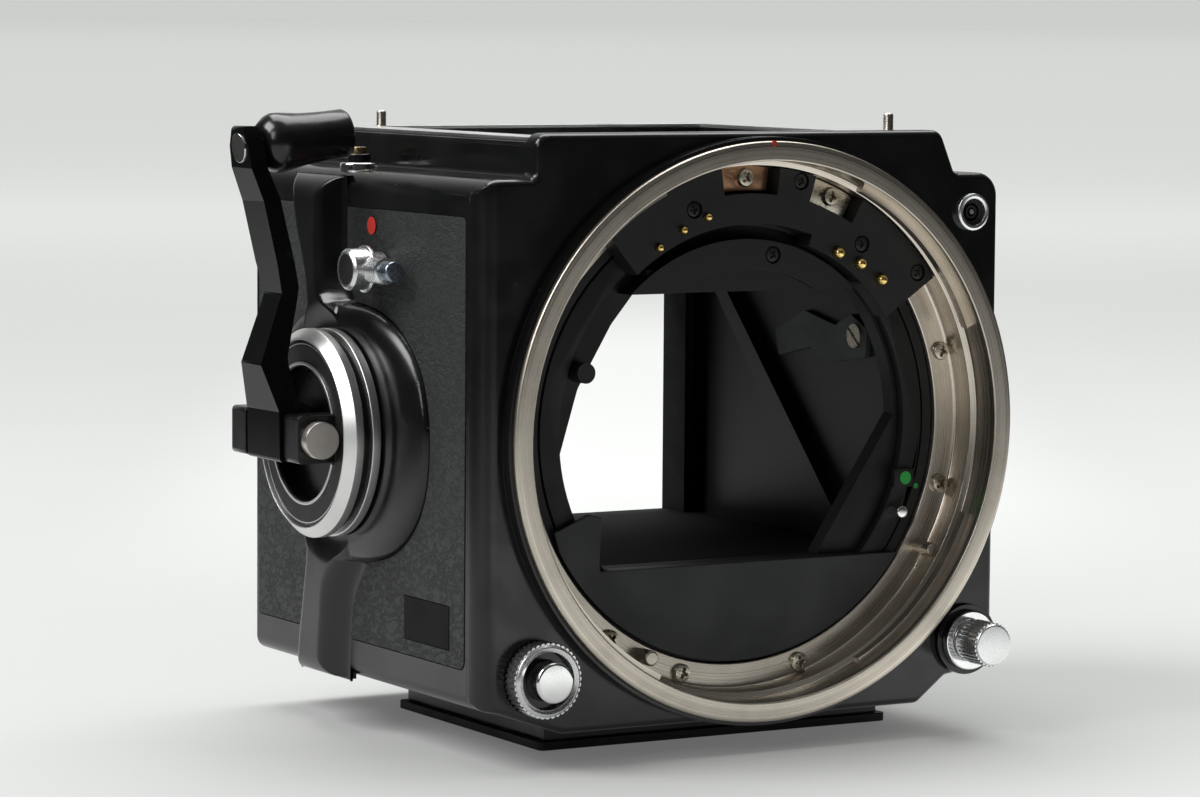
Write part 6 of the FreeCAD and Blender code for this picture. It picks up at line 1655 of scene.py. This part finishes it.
@dataclass
class Studio:
    """Floor, lamps, surroundings and the camera."""

    location: Point3 = (-291.08, -493.41, 93.19)
    azimuth: float = -29.97
    elevation: float = 5.09
    roll: float = 0.42
    lens: float = 130.28
    sensor: float = 36.0
    floor_half: float = 30.0
    floor_level: float = -0.0003
    floor_paint: tuple[Color, Color] = ((0.40, 0.405, 0.40), (0.42, 0.425, 0.42))
    floor_glow: Color = (0.978, 1.0, 0.975)
    floor_dark: float = 0.05
    sky: Color = (0.975, 1.0, 0.97)
    sky_seen: float = 0.622
    lamps: tuple[tuple, ...] = (
        ("key", (-0.85, 0.2, 0.86), (0, 0, 0.04), (0.75, 0.6), 13.4),
        ("top", (0.2, 0.3, 1.0), (0, 0, 0.03), (1.0, 0.8), 12.6),
        ("side", (-1.0, -0.45, 0.55), (0, 0, 0.04), (0.3, 0.5), 2.2))

    @staticmethod
    def floor_tone(nodes: NodeTree, across: Socket, behind: Socket, gloss: Socket) -> Socket:
        """Glow of the floor, for the camera and for gloss, with a painted pool of light behind the
        object, painted light on its right and a painted sheen that only gloss sees.

        Args:
            nodes: Tree of the floor's material.
            across: Distance to the right of the view's middle, in metres.
            behind: Distance behind the object, in metres.
            gloss: 1 for a ray that gloss or glass sends out.

        Returns:
            The strength of the glow.
        """
        base = nodes.plus(nodes.ramp(behind, 0.4, 1.5, 0.13, 0.6),
                          nodes.ramp(behind, 2.0, 30.0, 0.0, -0.065))
        # Painted light: a pool of extra glow on the floor just behind the object, which also lifts
        # its shadow.
        painted_light_pool = nodes.times(nodes.ramp(nodes.size(across), 0.04, 0.11, 0.2, 0.0),
                           nodes.times(nodes.ramp(behind, 0.08, 0.3),
                                       nodes.ramp(behind, 0.6, 0.95, 1.0, 0.0)))
        # Painted light: extra glow on the right of the floor, over the lamps' fall-off and the
        # shadow there.
        right = nodes.times(nodes.ramp(across, 0.0, 0.14, 0.0, 0.1),
                            nodes.ramp(behind, 0.3, 1.0, 1.0, 0.0))
        # Painted reflection: a band of glow that only gloss and glass rays see.
        painted_sheen = nodes.times(gloss, nodes.times(nodes.ramp(across, 0.02, 0.08),
                                               nodes.ramp(across, 0.14, 0.34, 0.5, 0.0)))
        return nodes.plus(nodes.plus(base, nodes.plus(painted_light_pool, right)), painted_sheen)

    def floor_material(self) -> bpy.types.Material:
        """Pale matt floor that keeps a soft shadow; gloss sees it dark away from the object."""
        material = bpy.data.materials.new("pale floor")
        material.use_nodes = True
        nodes = NodeTree(material.node_tree)
        shader = material.node_tree.nodes["Principled BSDF"]
        where = nodes.add("ShaderNodeTexCoord").outputs["Object"]
        parts = nodes.split(where)
        across = nodes.minus(nodes.times(parts["X"], VIEW_COS), nodes.times(parts["Y"], VIEW_SIN))
        behind = nodes.plus(nodes.times(parts["X"], VIEW_SIN), nodes.times(parts["Y"], VIEW_COS))
        paint = nodes.blend(nodes.noise(where, 9.0, 2.0), *self.floor_paint)
        nodes.feed(shader, {"Base Color": paint, "Roughness": 0.9, "Specular IOR Level": 0.1})
        path = nodes.add("ShaderNodeLightPath").outputs
        gloss = nodes.plus(path["Is Glossy Ray"], path["Is Transmission Ray"], clamp=True)
        seen = nodes.plus(path["Is Camera Ray"], gloss, clamp=True)
        tone = self.floor_tone(nodes, across, behind, gloss)
        glow = nodes.add("ShaderNodeEmission", {"Color": (*self.floor_glow, 1.0),
                                                "Strength": nodes.times(seen, tone)})
        total = nodes.add("ShaderNodeAddShader", {0: shader.outputs[0], 1: glow.outputs[0]})
        dark = nodes.add("ShaderNodeEmission", {"Color": (1.0, 1.0, 1.0, 1.0),
                                                "Strength": self.floor_dark})
        away = nodes.math("MAXIMUM", nodes.ramp(nodes.size(across), 0.14, 0.4),
                          nodes.ramp(nodes.times(behind, -1.0), 0.3, 0.6))
        mix = nodes.add("ShaderNodeMixShader", {0: nodes.times(gloss, away),
                                                1: total.outputs[0], 2: dark.outputs[0]})
        nodes.feed(material.node_tree.nodes["Material Output"], {"Surface": mix.outputs[0]})
        return material

    def floor(self) -> None:
        """Wide flat floor a little under the object."""
        half = self.floor_half
        corners = [(x, y, self.floor_level)
                   for x, y in ((-half, -half), (half, -half), (half, half), (-half, half))]
        data = bpy.data.meshes.new("floor")
        data.from_pydata(corners, [], [(0, 1, 2, 3)])
        data.materials.append(self.floor_material())
        obj = bpy.data.objects.new("studio_floor", data)
        bpy.context.scene.collection.objects.link(obj)

    def surroundings(self) -> None:
        """World light: pale behind the object and to the camera, dark on the camera's side."""
        world = bpy.data.worlds.new("studio")
        bpy.context.scene.world = world
        world.use_nodes = True
        nodes = NodeTree(world.node_tree)
        parts = nodes.split(nodes.add("ShaderNodeTexCoord").outputs["Object"])
        behind = nodes.plus(nodes.times(parts["Y"], VIEW_COS), nodes.times(parts["X"], VIEW_SIN))
        level = nodes.plus(nodes.ramp(behind, 0.55, 0.95, 0.035, 0.6),
                           nodes.ramp(parts["Z"], 0.45, 1.0, 0.0, 0.22))
        to_camera = nodes.add("ShaderNodeLightPath").outputs["Is Camera Ray"]
        strength = nodes.add("ShaderNodeMix", {0: to_camera, 2: level, 3: self.sky_seen},
                             data_type="FLOAT")
        nodes.feed(world.node_tree.nodes["Background"], {"Strength": strength.outputs[0],
                                                         "Color": (*self.sky, 1.0)})

    @staticmethod
    def lamp(name: str, spot: Point3, aim: Point3, size: Point2, power: float) -> None:
        """Soft rectangular lamp.

        Args:
            name: Its name.
            spot: Its place in metres.
            aim: Point that it faces, in metres.
            size: Its width and height in metres.
            power: Its power in watts.
        """
        light = bpy.data.lights.new(name, "AREA")
        light.shape = "RECTANGLE"
        light.size, light.size_y = size
        light.energy = power
        obj = bpy.data.objects.new(name, light)
        obj.location = spot
        obj.rotation_euler = (Vector(aim) - Vector(spot)).to_track_quat("-Z", "Y").to_euler()
        bpy.context.scene.collection.objects.link(obj)

    def camera(self) -> None:
        """Camera at the photograph's viewing angle."""
        turn, rise, roll = (math.radians(v) for v in (self.azimuth, self.elevation, self.roll))
        back = Vector((math.sin(turn) * math.cos(rise), -math.cos(turn) * math.cos(rise),
                       math.sin(rise)))
        right = Vector((math.cos(turn), math.sin(turn), 0.0))
        up = right.cross(-back)
        across = right * math.cos(roll) + up * math.sin(roll)
        upward = up * math.cos(roll) - right * math.sin(roll)
        data = bpy.data.cameras.new("view")
        data.lens = self.lens
        data.sensor_width = self.sensor
        data.sensor_fit = "HORIZONTAL"
        data.clip_start = 0.01
        obj = bpy.data.objects.new("view", data)
        turned = Matrix((across, upward, back)).transposed().to_4x4()
        obj.matrix_world = Matrix.Translation(Vector(self.location) * MM) @ turned
        bpy.context.scene.collection.objects.link(obj)
        bpy.context.scene.camera = obj

    def build(self) -> None:
        """Builds the studio."""
        self.floor()
        self.surroundings()
        for lamp in self.lamps:
            self.lamp(*lamp)
        self.camera()
        bpy.context.scene.view_settings.view_transform = "Standard"


def main() -> None:
    """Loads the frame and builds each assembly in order."""
    logging.basicConfig(level=logging.INFO, format="%(message)s")
    Piece.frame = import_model()
    for assembly in (BodyShell(), WindingSide(), LensMount(), MountInterior(), FrontControls(),
                     FarSide(), HiddenParts(), Studio()):
        known = set(bpy.data.objects.keys())
        assembly.build()
        for name in sorted(set(bpy.data.objects.keys()) - known):
            LOG.info("%s: %s", type(assembly).__name__, name)


if __name__ == "__main__":
    main()
